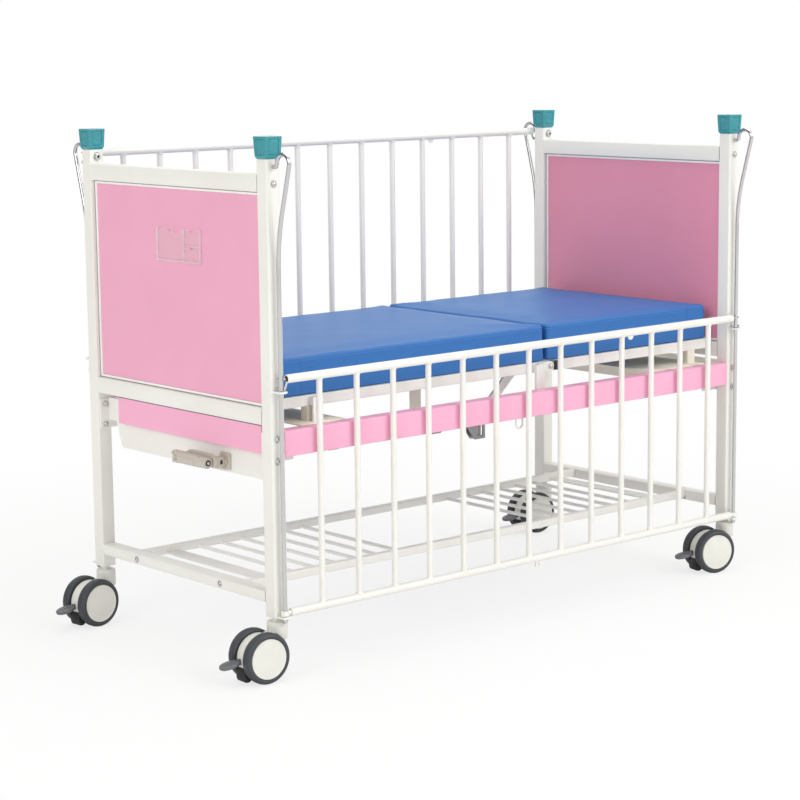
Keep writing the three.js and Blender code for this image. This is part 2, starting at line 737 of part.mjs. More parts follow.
function cushionOutline(x0, x1, half, inset) {
  const radius = Math.max(26 - inset * 0.5, 10);
  const points = [];
  const corners = [[x1 - radius, half - radius, 0], [x0 + radius, half - radius, 90]];
  corners.push([x0 + radius, radius - half, 180], [x1 - radius, radius - half, 270]);
  corners.forEach(([u, v, start], index) => {
    for (let i = 0; i <= 4; i += 1) {
      const angle = THREE.MathUtils.degToRad(start + 22.5 * i);
      points.push([u + radius * Math.cos(angle), v + radius * Math.sin(angle)]);
    }
    const from = points[points.length - 1];
    const next = corners[(index + 1) % 4];
    const aim = THREE.MathUtils.degToRad(next[2]);
    const to = [next[0] + radius * Math.cos(aim), next[1] + radius * Math.sin(aim)];
    const aside = THREE.MathUtils.degToRad(start + 90);
    for (let i = 1; i < CUSHION_STEPS; i += 1) {
      const t = i / CUSHION_STEPS;
      const pull = CUSHION_PULL * Math.sin(Math.PI * t);
      points.push([
        from[0] + (to[0] - from[0]) * t - pull * Math.cos(aside),
        from[1] + (to[1] - from[1]) * t - pull * Math.sin(aside),
      ]);
    }
  });
  return points;
}

const cushionZ = DECK_TOP + GAP;
const splitHalf = MATTRESS_SPLIT_GAP / 2;
const footCushionEnd = MATTRESS_SPLIT_X - splitHalf;
const headCushionStart = MATTRESS_SPLIT_X + splitHalf;
add(
  "mattress_foot",
  cushion(-MATTRESS_END_X, footCushionEnd, DECK_HALF_WIDTH, cushionZ, MATTRESS_HEIGHT),
  VINYL,
);
add(
  "mattress_head",
  cushion(headCushionStart, MATTRESS_END_X, DECK_HALF_WIDTH, cushionZ, MATTRESS_HEIGHT),
  VINYL,
);

// Crank at the foot end, with its screw, folding grip and the tube that pushes the backrest horn

const plateFront = apronX - GAP - 4;
const escutcheon = join(
  prism("x", roundedRect(CRANK_Y, CRANK_Z, BEARING_PLATE, BEARING_PLATE, 5, 3), plateFront, apronX - GAP),
  rod("x", CRANK_Y, CRANK_Z, 13, plateFront - 10, apronX - GAP - 1, 24),
);
add("crank_bearing", escutcheon.subtract(shaftHole), STEEL);

const armBack = -X_OUT - 6;
const armFront = armBack - 6;
const pivotY = CRANK_Y + CRANK_RADIUS;
const pivotX = armFront - 13;

const forkStart = hornX - FORK_REACH;
const tubeStart = forkStart - PUSH_TUBE_LENGTH;

function crank() {
  const screwEnd = tubeStart + SCREW_ENGAGEMENT;
  const armShape = roundedRect((CRANK_Y + pivotY) / 2, CRANK_Z, CRANK_RADIUS + ARM_OVERHANG, 22, 10.5, 4);
  const lug = [[pivotX, pivotY - 9], [armFront + 2, pivotY - 9]];
  lug.push([armFront + 2, pivotY + 9], [pivotX, pivotY + 9]);
  const knuckle = rod("z", pivotX, pivotY, 9, CRANK_Z - 6, CRANK_Z + 6, 20);
  const body = join(
    rod("x", CRANK_Y, CRANK_Z, SHAFT_RADIUS, armFront + 1, screwEnd, 16),
    rod("x", CRANK_Y, CRANK_Z, 10, apronX + 4.5, apronX + 14, 16),
    rod("x", CRANK_Y, CRANK_Z, 10, armBack - 1, armBack + 7, 16),
    prism("x", armShape, armFront, armBack),
    prism("z", lug, CRANK_Z - 6, CRANK_Z + 6),
    knuckle,
  );
  return body.subtract(bore("z", pivotX, pivotY, 3, CRANK_Z - 20, CRANK_Z + 20, 12));
}
add("crank_arm", crank(), STEEL);

function grip() {
  const handle = pivotY - 16;
  const tip = pivotY - GRIP_LENGTH;
  const body = prism("y", roundedRect(CRANK_Z, pivotX, GRIP_HEIGHT, 20, 6, 2), tip, handle);
  const hollow = rod("y", CRANK_Z, pivotX, 5.5, tip - 1, tip + GRIP_HOLLOW, 16);
  const parts = [body.subtract(hollow)];
  for (const side of [-1, 1]) {
    const inner = CRANK_Z + side * (6 + GAP);
    const outer = CRANK_Z + (side * GRIP_HEIGHT) / 2;
    const low = Math.min(inner, outer);
    const high = Math.max(inner, outer);
    parts.push(rod("z", pivotX, pivotY, 9, low, high, 20));
    parts.push(box(pivotX - 9, pivotX + 9, handle - 4, pivotY, low, high));
  }
  parts.push(rod("z", pivotX, pivotY, 3, CRANK_Z - 11, CRANK_Z + 11, 12));
  return join(parts);
}
add("crank_grip", grip(), PEDAL);

function pushTube() {
  const cheekLow = HINGE_Z - hornLength - 16;
  const cheekHigh = CRANK_Z + 16;
  const parts = [
    rod("x", CRANK_Y, CRANK_Z, 13, tubeStart, forkStart + 6, 16),
    rod("x", CRANK_Y, CRANK_Z, 18, forkStart - 128, forkStart - 88, 16),
    rod("x", CRANK_Y, CRANK_Z, 16, tubeStart, tubeStart + 30, 16),
    box(forkStart, forkStart + 13, CRANK_Y - 11, CRANK_Y + 11, cheekLow, cheekHigh),
  ];
  for (const side of [-1, 1]) {
    const inner = CRANK_Y + side * 5;
    parts.push(box(forkStart, hornX + 20, inner, CRANK_Y + side * 11, cheekLow, cheekHigh));
  }
  const slotLow = HINGE_Z - hornLength - 7.5;
  const slot = box(hornX - 9.5, hornX + 9.5, CRANK_Y - 20, CRANK_Y + 20, slotLow, CRANK_Z + 7.5);
  const depth = SCREW_ENGAGEMENT + 10;
  const hollow = rod("x", CRANK_Y, CRANK_Z, SHAFT_RADIUS + 2 * GAP, tubeStart - 1, tubeStart + depth, 12);
  return join(parts).subtract(join(slot, hollow));
}
add("push_tube", pushTube(), STEEL);

// Storage shelf: two long rails with cross rods at each end and an open middle
function shelf() {
  const reach = X_IN - GAP;
  const parts = [];
  for (const sy of [-1, 1]) {
    parts.push(tube("x", sy * SHELF_Y, LOWER_RAIL_Z + 2, 20, 20, -reach, reach));
  }
  const level = LOWER_RAIL_Z - SHELF_DROP;
  for (const sx of [-1, 1]) {
    const bar = reach - SHELF_END;
    parts.push(box(sx * bar, sx * (bar + SHELF_BAR), -SHELF_Y, SHELF_Y, level - 2, level + 2));
    for (let i = 1; i <= SHELF_RODS; i += 1) {
      const x = sx * (bar - SHELF_PITCH * i);
      parts.push(rod("y", level, x, 5, -SHELF_Y, SHELF_Y, 4));
    }
  }
  return join(parts);
}
add("storage_shelf", shelf(), WHITE);

// Twin-wheel casters, each built round its own swivel axis and then turned

function casterHousing() {
  const neckTop = POST_BOTTOM - GAP;
  const hood = 2 * WHEEL_RADIUS + 2.2;
  const cup = [[0.01, hood], [34, hood], [34, hood + 3], [22, hood + 8], [22, neckTop], [0.01, neckTop]];
  const dome = turned(cup, 16);
  const axle = WHEEL_RADIUS;
  const rear = TRAIL + FORK_TAIL;
  const low = axle - WEB_DROP;
  const web = [[hood + 2, HOOD_HALF], [axle, 10], [low, -TRAIL + 12], [low, -TRAIL - 12]];
  web.push([axle - 14, -rear], [axle + 10, -rear], [axle + 34, -TRAIL - 22], [hood + 2, -HOOD_HALF]);
  const half = WHEEL_Y - WHEEL_WIDTH / 2 - 1.5;
  const frame = prism("y", web, -half, half);
  const slot = box(-rear - 5, -rear + 22, -4, 4, axle - 40, axle + 30);
  const pinAt = [axle - 3, -rear + 8];
  const parts = [
    dome,
    frame.subtract(slot),
    rod("z", 0, 0, SHAFT_RADIUS, neckTop - 2, POST_BOTTOM + 22, 16),
    rod("y", axle, -TRAIL, 6, -WHEEL_Y - WHEEL_WIDTH / 2 + 4, WHEEL_Y + WHEEL_WIDTH / 2 - 4, 16),
    rod("y", pinAt[0], pinAt[1], 3, -half + 1, half - 1, 12),
  ];
  return join(parts);
}

// Body of revolution about Z from [radius, height] points
function turned(profile, sides) {
  const vertices = [];
  for (const [radius, z] of profile) {
    for (let k = 0; k < sides; k += 1) {
      const angle = (2 * Math.PI * (k + 0.5)) / sides;
      vertices.push(new THREE.Vector3(radius * Math.cos(angle), radius * Math.sin(angle), z));
    }
  }
  return skin(vertices, profile.length, sides);
}

// A wheel about the Z axis, outer face up, with a domed hub cover
function wheelBlank() {
  const outer = WHEEL_RADIUS / Math.cos(Math.PI / WHEEL_FACETS);
  const half = WHEEL_WIDTH / 2;
  const profile = [
    [outer - 4, -half],
    [outer, -half + 4],
    [outer, half - 5],
    [outer - 5, half - 1],
    [outer - 18, half - 2.4],
    [26, half + 2],
  ];
  return turned(profile, WHEEL_FACETS).subtract(bore("z", 0, 0, 6, -half - 1, half - 3));
}

function wheel(side) {
  const turn = new THREE.Matrix4().makeRotationX((-side * Math.PI) / 2);
  turn.setPosition(-TRAIL, side * WHEEL_Y, WHEEL_RADIUS);
  return placed(wheelBlank(), turn);
}

function brakePedal() {
  const axle = WHEEL_RADIUS;
  const rear = TRAIL + FORK_TAIL;
  const pinAt = [axle - 3, -rear + 8];
  const arm = [[pinAt[0] - 8, pinAt[1] + 8], [pinAt[0] - 8, -TRAIL - 74], [pinAt[0] + 4, -TRAIL - 74]];
  arm.push([pinAt[0] + 8, pinAt[1] + 8]);
  const tongue = roundedRect(-TRAIL - 86, 0, 40, 34, 9, 3);
  const parts = [
    prism("y", arm, -3.7, 3.7),
    prism("z", tongue, pinAt[0] - 13, pinAt[0] - 4),
  ];
  return join(parts).subtract(bore("y", pinAt[0], pinAt[1], 3, -20, 20, 12));
}

for (const [sx, end] of [[-1, "foot"], [1, "head"]]) {
  for (const [sy, side] of [[-1, "front"], [1, "rear"]]) {
    const name = `${end}_${side}`;
    const turn = new THREE.Matrix4().makeRotationZ(THREE.MathUtils.degToRad(CASTER_TURNS[name]));
    turn.setPosition(sx * POST_X, sy * POST_Y, 0);
    add(`caster_housing_${name}`, placed(casterHousing(), turn), CREAM);
    add(`caster_wheel_${name}_a`, placed(wheel(-1), turn), TYRE);
    add(`caster_wheel_${name}_b`, placed(wheel(1), turn), TYRE);
    add(`caster_pedal_${name}`, placed(brakePedal(), turn), PEDAL);
  }
}

// Centre the whole on the floor under its bounding box
const bounds = new THREE.Box3().setFromObject(root);
const centre = bounds.getCenter(new THREE.Vector3());
for (const mesh of root.children) {
  mesh.geometry.translate(-centre.x, -centre.y, -bounds.min.z);
}

export default root;
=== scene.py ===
import json
import math

import bpy
import numpy as np
from mathutils import Matrix, Vector, noise


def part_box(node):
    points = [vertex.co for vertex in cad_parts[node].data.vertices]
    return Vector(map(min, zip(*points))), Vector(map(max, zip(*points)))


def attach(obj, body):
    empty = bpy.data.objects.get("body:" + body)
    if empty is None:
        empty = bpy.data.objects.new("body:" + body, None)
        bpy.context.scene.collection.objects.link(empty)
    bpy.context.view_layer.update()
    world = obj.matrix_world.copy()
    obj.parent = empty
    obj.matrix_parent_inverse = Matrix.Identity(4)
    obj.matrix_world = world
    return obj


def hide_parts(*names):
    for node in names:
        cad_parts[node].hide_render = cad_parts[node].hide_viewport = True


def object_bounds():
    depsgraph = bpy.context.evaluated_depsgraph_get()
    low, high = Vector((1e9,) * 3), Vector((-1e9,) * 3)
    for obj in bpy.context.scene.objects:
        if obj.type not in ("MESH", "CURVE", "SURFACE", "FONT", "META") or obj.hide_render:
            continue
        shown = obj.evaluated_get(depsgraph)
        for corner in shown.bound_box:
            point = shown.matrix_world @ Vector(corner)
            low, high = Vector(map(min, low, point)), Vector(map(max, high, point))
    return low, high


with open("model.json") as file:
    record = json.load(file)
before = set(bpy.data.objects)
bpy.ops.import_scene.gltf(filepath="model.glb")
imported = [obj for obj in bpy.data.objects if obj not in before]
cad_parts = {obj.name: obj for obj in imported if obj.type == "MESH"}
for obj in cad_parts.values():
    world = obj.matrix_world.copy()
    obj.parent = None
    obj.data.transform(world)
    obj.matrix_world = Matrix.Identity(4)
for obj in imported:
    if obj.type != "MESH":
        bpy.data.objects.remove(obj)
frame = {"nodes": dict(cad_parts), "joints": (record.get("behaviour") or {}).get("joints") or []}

CAD_LOW, CAD_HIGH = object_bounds()

# Driving sizes, in millimetres about the middle of the four posts, taken from the frame where it has them

MM = 0.001
NODES = frame["nodes"]
JOINT = {joint["name"]: joint for joint in frame["joints"]}
ENDS = {"foot": -1, "head": 1}
SIDES = {"front": -1, "rear": 1}
CORNERS = [(end, side) for end in ENDS for side in SIDES]


def pivot(joint):
    return Vector(JOINT[joint]["pos_m"]) / MM


SHIFT = (pivot("swivel_foot_front").x + pivot("swivel_head_front").x) / 2
OFFSET = Vector((SHIFT, 0, 0))
POST_X = pivot("swivel_head_front").x - SHIFT
POST_Y = pivot("swivel_head_rear").y


def span(node):
    """Lowest and highest corner of a frame node, in this script's millimetres."""
    low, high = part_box(node)
    return low / MM - OFFSET, high / MM - OFFSET


POST_LOW, POST_HIGH = span("post_foot_front")
HALF = (POST_HIGH.x - POST_LOW.x) / 2
POST_BOTTOM = POST_LOW.z
POST_TOP = POST_HIGH.z
X_OUT = POST_X + HALF
Y_OUT = POST_Y + HALF
Y_IN = POST_Y - HALF
ROD_RADIUS = 5.0
ROD_OFFSET = 12.0
ROD_Y = Y_OUT + ROD_OFFSET
ROD_FOOT = 133.0
FOOT_TAB = 5.0
LEAN_Z = 1010.0
HOOK_Z = 1175.0
HOOK_REACH = 77.0
LOOP_Z = 669.0
LOOP_REACH = 12.0
LOOP_WIRE = 2.5
GATE_LOW_Z = 698.0
GATE_RAIL_RADIUS = 10.0
GATE_HEIGHT = 541.0
BAR_RADIUS = 7.2
BAR_COUNT = 13
SLIDE_FIT = 0.35
RAIL_HEIGHT = 60.0
CRANK = pivot("crank_spin")
GRIP = pivot("crank_grip_fold") - OFFSET
HINGE = pivot("backrest_hinge") - OFFSET
DECK_HALF = 318.0
DECK_TUBE = 25.0
DECK_TOP = HINGE.z + 13
DECK_BOTTOM = HINGE.z - 13
DECK_SLAT = 22.0
DECK_SLATS = 7
CHEEK_OUT = 325.0
PLATE_Z = 576.3
PLATE_THICK = 4.0
LIP_LOW = 556.0
LIP_TOP = 579.0
HANGER_X = -160.0
SHELF_TUBE = 20.0
SHELF_END = 104.0
SHELF_BAR = 44.0
SHELF_PITCH = 66.0
SHELF_RODS = 6
BRACKET_BOLTS = (561.0, 509.5)
CAP_BOLT = 1137.0
SHELF_BOLT = (222.0, 184.0)
LOWER_BOLTS = ((183.0, 190.0), (-160.0, 190.0))
DECK_BOLT = 601.0


# Shapes, as (points, faces), and the paths and outlines they are made from

def closed_rings(points, sides):
    """Skins a stack of rings of equal point count and caps both ends."""
    rings = len(points) // sides
    faces = []
    for i in range(rings - 1):
        for k in range(sides):
            n = (k + 1) % sides
            faces.append((i * sides + k, i * sides + n, (i + 1) * sides + n, (i + 1) * sides + k))
    faces.append(tuple(reversed(range(sides))))
    faces.append(tuple(range((rings - 1) * sides, rings * sides)))
    return points, faces


def swept(path, radius, sides=20, soft=0.0):
    """Round bar along a path, its end edges rounded by soft."""
    path = [Vector(p) for p in path]
    radii = [radius] * len(path)
    if soft:
        head = (path[1] - path[0]).normalized()
        tail = (path[-1] - path[-2]).normalized()
        first, last = [], []
        for k in range(4):
            angle = math.pi / 6 * k
            drop = soft * (1 - math.sin(angle))
            back = soft * (1 - math.cos(angle))
            first.append((path[0] + head * back, radius - drop))
            last.append((path[-1] - tail * back, radius - drop))
        line = first + [(p, radius) for p in path[1:-1]] + last[::-1]
        path = [p for p, r in line]
        radii = [r for p, r in line]
    count = len(path)
    along = []
    for i in range(count):
        before = path[i] - path[max(i - 1, 0)]
        after = path[min(i + 1, count - 1)] - path[i]
        along.append((before.normalized() + after.normalized()).normalized())
    side = Vector((1, 0, 0)) if abs(along[0].x) < 0.9 else Vector((0, 1, 0))
    u = side.cross(along[0]).normalized()
    points = []
    for i in range(count):
        if i:
            u = along[i - 1].rotation_difference(along[i]) @ u
        u = (u - along[i] * u.dot(along[i])).normalized()
        w = along[i].cross(u)
        for k in range(sides):
            angle = 2 * math.pi * k / sides
            points.append(path[i] + (u * math.cos(angle) + w * math.sin(angle)) * radii[i])
    return closed_rings(points, sides)


def rounded_path(path, cut, steps=6):
    """A path whose inner corners are rounded over the length cut."""
    path = [Vector(p) for p in path]
    out = [path[0]]
    for a, b, c in zip(path, path[1:], path[2:]):
        start = b + (a - b).normalized() * min(cut, (a - b).length * 0.49)
        end = b + (c - b).normalized() * min(cut, (c - b).length * 0.49)
        for i in range(steps + 1):
            t = i / steps
            out.append(start * (1 - t) ** 2 + b * 2 * t * (1 - t) + end * t * t)
    return out + [path[-1]]


def arc(centre, radius, start, end, steps):
    """Points [u, v] on an arc, angles in degrees."""
    out = []
    for i in range(steps + 1):
        angle = math.radians(start + (end - start) * i / steps)
        out.append((centre[0] + radius * math.cos(angle), centre[1] + radius * math.sin(angle)))
    return out


def rounded_rect(u, v, width, height, radius, steps=6):
    out = []
    for su, sv, start in ((1, 1, 0), (-1, 1, 90), (-1, -1, 180), (1, -1, 270)):
        middle = (u + su * (width / 2 - radius), v + sv * (height / 2 - radius))
        out += arc(middle, radius, start, start + 90, steps)
    return out


def softened(outline, cut, steps=5):
    """A closed outline whose corners are rounded over the length cut."""
    count = len(outline)
    ring = [Vector((*p, 0)) for p in outline]
    out = []
    for i in range(count):
        path = rounded_path([ring[i - 1], ring[i], ring[(i + 1) % count]], cut, steps)
        out += [(p.x, p.y) for p in path[1:-1]]
    return out


def inset_outline(outline, inset):
    """The closed outline, anticlockwise, moved inwards."""
    count = len(outline)
    out = []
    for i in range(count):
        a, b, c = (Vector(outline[(i + k) % count]) for k in (-1, 0, 1))
        first = (b - a).normalized()
        second = (c - b).normalized()
        normal = Vector((first.y + second.y, -first.x - second.x))
        normal /= max(normal.length_squared / 2, 0.4)
        out.append(tuple(b - normal * inset))
    return out


TURN = {
    "x": Matrix(((0, 0, 1, 0), (1, 0, 0, 0), (0, 1, 0, 0), (0, 0, 0, 1))),
    "y": Matrix(((1, 0, 0, 0), (0, 0, -1, 0), (0, 1, 0, 0), (0, 0, 0, 1))),
    "z": Matrix.Identity(4),
}


def slab(axis, outline, low, high, edge=0.8, steps=3):
    """An outline given depth along an axis: x takes [y, z], y takes [x, z], z takes [x, y]."""
    area = sum(a[0] * b[1] - b[0] * a[1] for a, b in zip(outline, outline[1:] + outline[:1]))
    outline = outline if area > 0 else outline[::-1]
    if axis == "y":
        low, high = -high, -low
    rings = []
    for k in range(steps + 1):
        angle = math.pi / 2 * k / steps
        rings.append((edge * (1 - math.sin(angle)), low + edge * (1 - math.cos(angle))))
    for k in range(steps + 1):
        angle = math.pi / 2 * (steps - k) / steps
        rings.append((edge * (1 - math.sin(angle)), high - edge * (1 - math.cos(angle))))
    points = []
    for inset, level in rings:
        points += [TURN[axis] @ Vector((u, v, level)) for u, v in inset_outline(outline, inset)]
    return closed_rings(points, len(outline))


def block(low, high, radius=1.0):
    """A box with every edge rounded."""
    a = [min(p) for p in zip(low, high)]
    b = [max(p) for p in zip(low, high)]
    outline = rounded_rect((a[0] + b[0]) / 2, (a[1] + b[1]) / 2, b[0] - a[0], b[1] - a[1], radius, 4)
    return slab("z", outline, a[2], b[2], radius * 0.9)


def lathe(profile, sides=48):
    """A body turned about Z from (radius, height) points."""
    points = []
    for radius, z in profile:
        reach = max(radius, 0.02)
        for k in range(sides):
            angle = 2 * math.pi * k / sides
            points.append(Vector((reach * math.cos(angle), reach * math.sin(angle), z)))
    return closed_rings(points, sides)


def moved(shape, matrix):
    points, faces = shape
    return [matrix @ Vector(p) for p in points], faces


def aim(at, direction):
    """Matrix that takes +Z to a direction and the origin to a place."""
    turn = Vector((0, 0, 1)).rotation_difference(Vector(direction)).to_matrix().to_4x4()
    return Matrix.Translation(Vector(at)) @ turn


def turned(profile, at, direction, sides):
    """A lathe body set at a place along a direction."""
    return moved(lathe(profile, sides), aim(at, direction))


def turned_ring(profile, at, direction):
    """A turned ring: its profile closes on itself, so the end faces are left out."""
    points, faces = turned(profile, at, direction, 36)
    return points, faces[:-2]


def bolt_head(at, direction, r):
    """A domed bolt head of radius r on its washer."""
    profile = [(0, 0), (r * 1.45, 0), (r * 1.5, 0.3), (r * 1.5, 1.0), (r * 1.42, 1.4), (r, 1.45)]
    profile += [(r * 0.98, 2.4), (r * 0.86, 3.6), (r * 0.6, 4.6), (r * 0.3, 5.1), (0, 5.2)]
    return turned(profile, at, direction, 32)


def nut(at, direction, flat, height, stub):
    """A hexagon nut on a washer, with the end of its stud."""
    place = aim(at, direction)
    hexagon = softened(arc((0, 0), flat * 1.15, 0, 300, 5), 0.8, 2)
    rim = flat * 1.55
    washer = [(0, 0), (flat * 1.5, 0), (rim, 0.4), (rim, 1.1), (flat * 1.5, 1.5), (0, 1.5)]
    end = height + 2.0 + stub
    stud = [(0, 0), (flat * 0.6, 0), (flat * 0.6, end - 1.0), (flat * 0.45, end), (0, end)]
    return [
        moved(lathe(washer, 32), place),
        moved(slab("z", hexagon, 1.4, height + 1.5, 0.6, 2), place),
        moved(lathe(stud, 20), place),
    ]


def put(thing, **values):
    """Sets attributes of a thing and returns it."""
    for key, value in values.items():
        setattr(thing, key, value)
    return thing


def linked(name, data):
    """A new object in the scene."""
    obj = bpy.data.objects.new(name, data)
    bpy.context.scene.collection.objects.link(obj)
    return obj


class Piece:
    """Gathers the surfaces of one visible piece, then makes it and lets it ride on a body."""

    def __init__(self):
        self.points = []
        self.faces = []
        self.finish = []

    def add(self, shape, finish=0):
        points, faces = shape
        base = len(self.points)
        self.points += [Vector(p) for p in points]
        self.faces += [[base + i for i in face] for face in faces]
        self.finish += [finish] * len(faces)
        return self

    def make(self, name, body, slot, materials, nodes=(), sharp=38):
        mesh = bpy.data.meshes.new(name)
        mesh.from_pydata([(p + OFFSET) * MM for p in self.points], [], self.faces)
        mesh.polygons.foreach_set("material_index", self.finish)
        for material in materials:
            mesh.materials.append(material)
        mesh.validate()
        mesh.shade_smooth()
        mesh.set_sharp_from_angle(angle=math.radians(sharp))
        obj = linked(name, mesh)
        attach(obj, body)
        if nodes:
            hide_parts(*nodes)
        return obj


# Materials

def linear(srgb):
    out = []
    for value in srgb:
        c = value / 255
        out.append(c / 12.92 if c <= 0.04045 else ((c + 0.055) / 1.055) ** 2.4)
    return (*out, 1.0)


def wired(tree, kind, inputs=None, **settings):
    """A new node with its settings, each input linked to a socket or set to a constant."""
    node = put(tree.nodes.new(kind), **settings)
    for key, value in (inputs or {}).items():
        if isinstance(value, bpy.types.NodeSocket):
            tree.links.new(value, node.inputs[key])
        else:
            node.inputs[key].default_value = value
    return node


class Finish:
    """A procedural material: a shader with mottled colour, uneven gloss and a fine surface."""

    def __init__(self, name, colour, rough, **sockets):
        self.material = bpy.data.materials.new(name)
        self.material.use_nodes = True
        self.tree = self.material.node_tree
        self.shader = self.tree.nodes["Principled BSDF"]
        self.colour = linear(colour)
        self.rough = rough
        self.shader.inputs["Base Color"].default_value = self.colour
        self.shader.inputs["Roughness"].default_value = rough
        for socket, value in sockets.items():
            self.shader.inputs[socket.replace("_", " ")].default_value = value
        self.place = self.node("ShaderNodeTexCoord").outputs["Object"]

    def node(self, kind, inputs=None, **settings):
        return wired(self.tree, kind, inputs, **settings)

    def feed(self, value, socket):
        self.tree.links.new(value, self.shader.inputs[socket])
        return self

    def stretched(self, scale):
        return self.node("ShaderNodeMapping", {"Vector": self.place, "Scale": scale}).outputs["Vector"]

    def noise(self, scale, detail=3.0, place=None):
        inputs = {"Vector": place or self.place, "Scale": scale, "Detail": detail}
        return self.node("ShaderNodeTexNoise", inputs).outputs["Fac"]

    def ranged(self, value, low, high):
        """Spreads the middle of a noise over a range."""
        inputs = {"Value": value, "From Min": 0.3, "From Max": 0.7, "To Min": low, "To Max": high}
        return self.node("ShaderNodeMapRange", inputs).outputs["Result"]

    def mottle(self, scale, amount, tint=(1.0, 1.0, 1.0), place=None):
        """Lightens and darkens the colour in soft patches."""
        dark = [c * (1 - amount) * t for c, t in zip(self.colour, tint)]
        light = [min(c * (1 + amount * 0.6), 1.0) for c in self.colour[:3]]
        patches = self.ranged(self.noise(scale, 4.0, place), 0.0, 1.0)
        inputs = {"Factor": patches, "A": (*dark, 1.0), "B": (*light, 1.0)}
        mix = self.node("ShaderNodeMix", inputs, data_type="RGBA")
        return self.feed(mix.outputs["Result"], "Base Color")

    def gloss(self, scale, spread, place=None):
        """Varies the roughness."""
        value = self.ranged(self.noise(scale, 5.0, place), self.rough - spread, self.rough + spread)
        return self.feed(value, "Roughness")

    def relief(self, height, distance, strength):
        """Raises a fine surface."""
        inputs = {"Height": height, "Distance": distance, "Strength": strength}
        return self.feed(self.node("ShaderNodeBump", inputs).outputs["Normal"], "Normal")


def coat(name, colour, rough=0.34):
    """Powder coat on steel: a faint orange peel and slightly uneven gloss."""
    made = Finish(name, colour, rough, Specular_IOR_Level=0.45)
    made.mottle(5.0, 0.025, (1.0, 0.995, 0.985)).gloss(14.0, 0.06)
    return made.relief(made.noise(420.0, 2.0), 0.0002, 0.35).material


def moulded(name, colour, rough=0.42, **sockets):
    """Moulded plastic with a fine grain."""
    made = Finish(name, colour, rough, **sockets)
    made.mottle(16.0, 0.05).gloss(45.0, 0.07)
    return made.relief(made.noise(1400.0, 2.0), 0.0002, 0.3).material


def plated(name, colour, rough, streak):
    """Bright metal with fine draw marks."""
    made = Finish(name, colour, rough, Metallic=1.0)
    marks = made.stretched(streak)
    made.mottle(60.0, 0.10, place=marks).gloss(120.0, rough * 0.45, place=marks)
    return made.relief(made.noise(700.0, 3.0, marks), 0.0001, 0.25).material


def vinyl():
    """Coated fabric: a fine leather grain over soft mottling."""
    made = Finish("blue vinyl", (51, 114, 184), 0.44, Specular_IOR_Level=0.38)
    made.mottle(3.0, 0.03).gloss(10.0, 0.02)
    cells = {"Vector": made.place, "Scale": 620.0}
    grain = made.node("ShaderNodeTexVoronoi", cells, feature="SMOOTH_F1")
    inputs = {0: made.noise(240.0, 4.0), 1: 0.6, 2: grain.outputs["Distance"]}
    both = made.node("ShaderNodeMath", inputs, operation="MULTIPLY_ADD")
    return made.relief(both.outputs["Value"], 0.0004, 0.16).material


def rubber():
    made = Finish("tyre rubber", (60, 64, 69), 0.55)
    made.mottle(30.0, 0.12).gloss(60.0, 0.08)
    return made.relief(made.noise(900.0, 4.0), 0.0003, 0.5).material


WHITE = coat("white powder coat", (239, 239, 234))
TRIM = coat("white trim", (250, 250, 248), 0.3)
PINK = coat("pink powder coat", (247, 178, 208))
PANEL = coat("pink panel", (240, 173, 201), 0.4)
# The head panel's pink is the foot panel's pink darkened. This is painted shade for the inner face, which
# the foot end keeps from the light. The pocket marks reuse this darker pink.
SHADED_PINK = coat("pink panel in painted shade", (229, 150, 176), 0.4)
BEIGE = coat("beige plate", (240, 235, 220), 0.42)
CAST = coat("crank casting", (198, 191, 180), 0.34)
CHROME = plated("chrome rod", (206, 206, 207), 0.14, (90.0, 90.0, 3.0))
STEEL = plated("zinc fasteners", (204, 204, 202), 0.24, (30.0, 30.0, 30.0))
DARK = plated("push tube steel", (150, 150, 150), 0.34, (3.0, 60.0, 60.0))
TEAL = moulded("teal cap", (64, 160, 170), 0.26, Transmission_Weight=0.15, IOR=1.45, Coat_Weight=0.15)
CREAM = moulded("cream moulding", (230, 230, 223), 0.36)
# Grey pedal plastic, also used as a painted shadow line along the foot cross rail.
GREY = moulded("grey pedal and painted shadow", (104, 107, 112), 0.4)
# Grey standing in for the shade in the recesses round the panel trims.
SHADE_GREY = moulded("grey painted shade", (150, 148, 144), 0.5)
# Black plastic, also used as painted shade: the open ends of the gate rails, the crank's square socket and
# the gap behind the crank grip.
BLACK = moulded("black moulding and painted shade", (34, 35, 38), 0.45)
CLEAR = moulded("clear card sheet", (240, 230, 231), 0.12, Alpha=0.13, IOR=1.45)
RIM = moulded("clear rim", (255, 234, 243), 0.2, Alpha=0.5, IOR=1.45)
TYRE = rubber()
VINYL = vinyl()


def dress(names, material, width=0.8, body="frame"):
    """A piece in place of each frame node: a copy of its body with a finish and rounded edges."""
    for name in names:
        mesh = NODES[name].data.copy()
        mesh.transform(NODES[name].matrix_world)
        custom = mesh.attributes.get("custom_normal")
        if custom:
            mesh.attributes.remove(custom)
        mesh.shade_smooth()
        mesh.materials.clear()
        mesh.materials.append(material)
        obj = linked(f"{name}_finished", mesh)
        put(obj.modifiers.new("Weld", "WELD"), merge_threshold=0.00001)
        flat = obj.modifiers.new("Flat faces", "DECIMATE")
        put(flat, decimate_type="DISSOLVE", angle_limit=math.radians(1.0))
        edge = obj.modifiers.new("Edges", "BEVEL")
        put(edge, width=width * MM, segments=2, harden_normals=True)
        put(edge, limit_method="ANGLE", angle_limit=math.radians(40))
        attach(obj, body)
        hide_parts(name)


# Posts, guide rods and caps

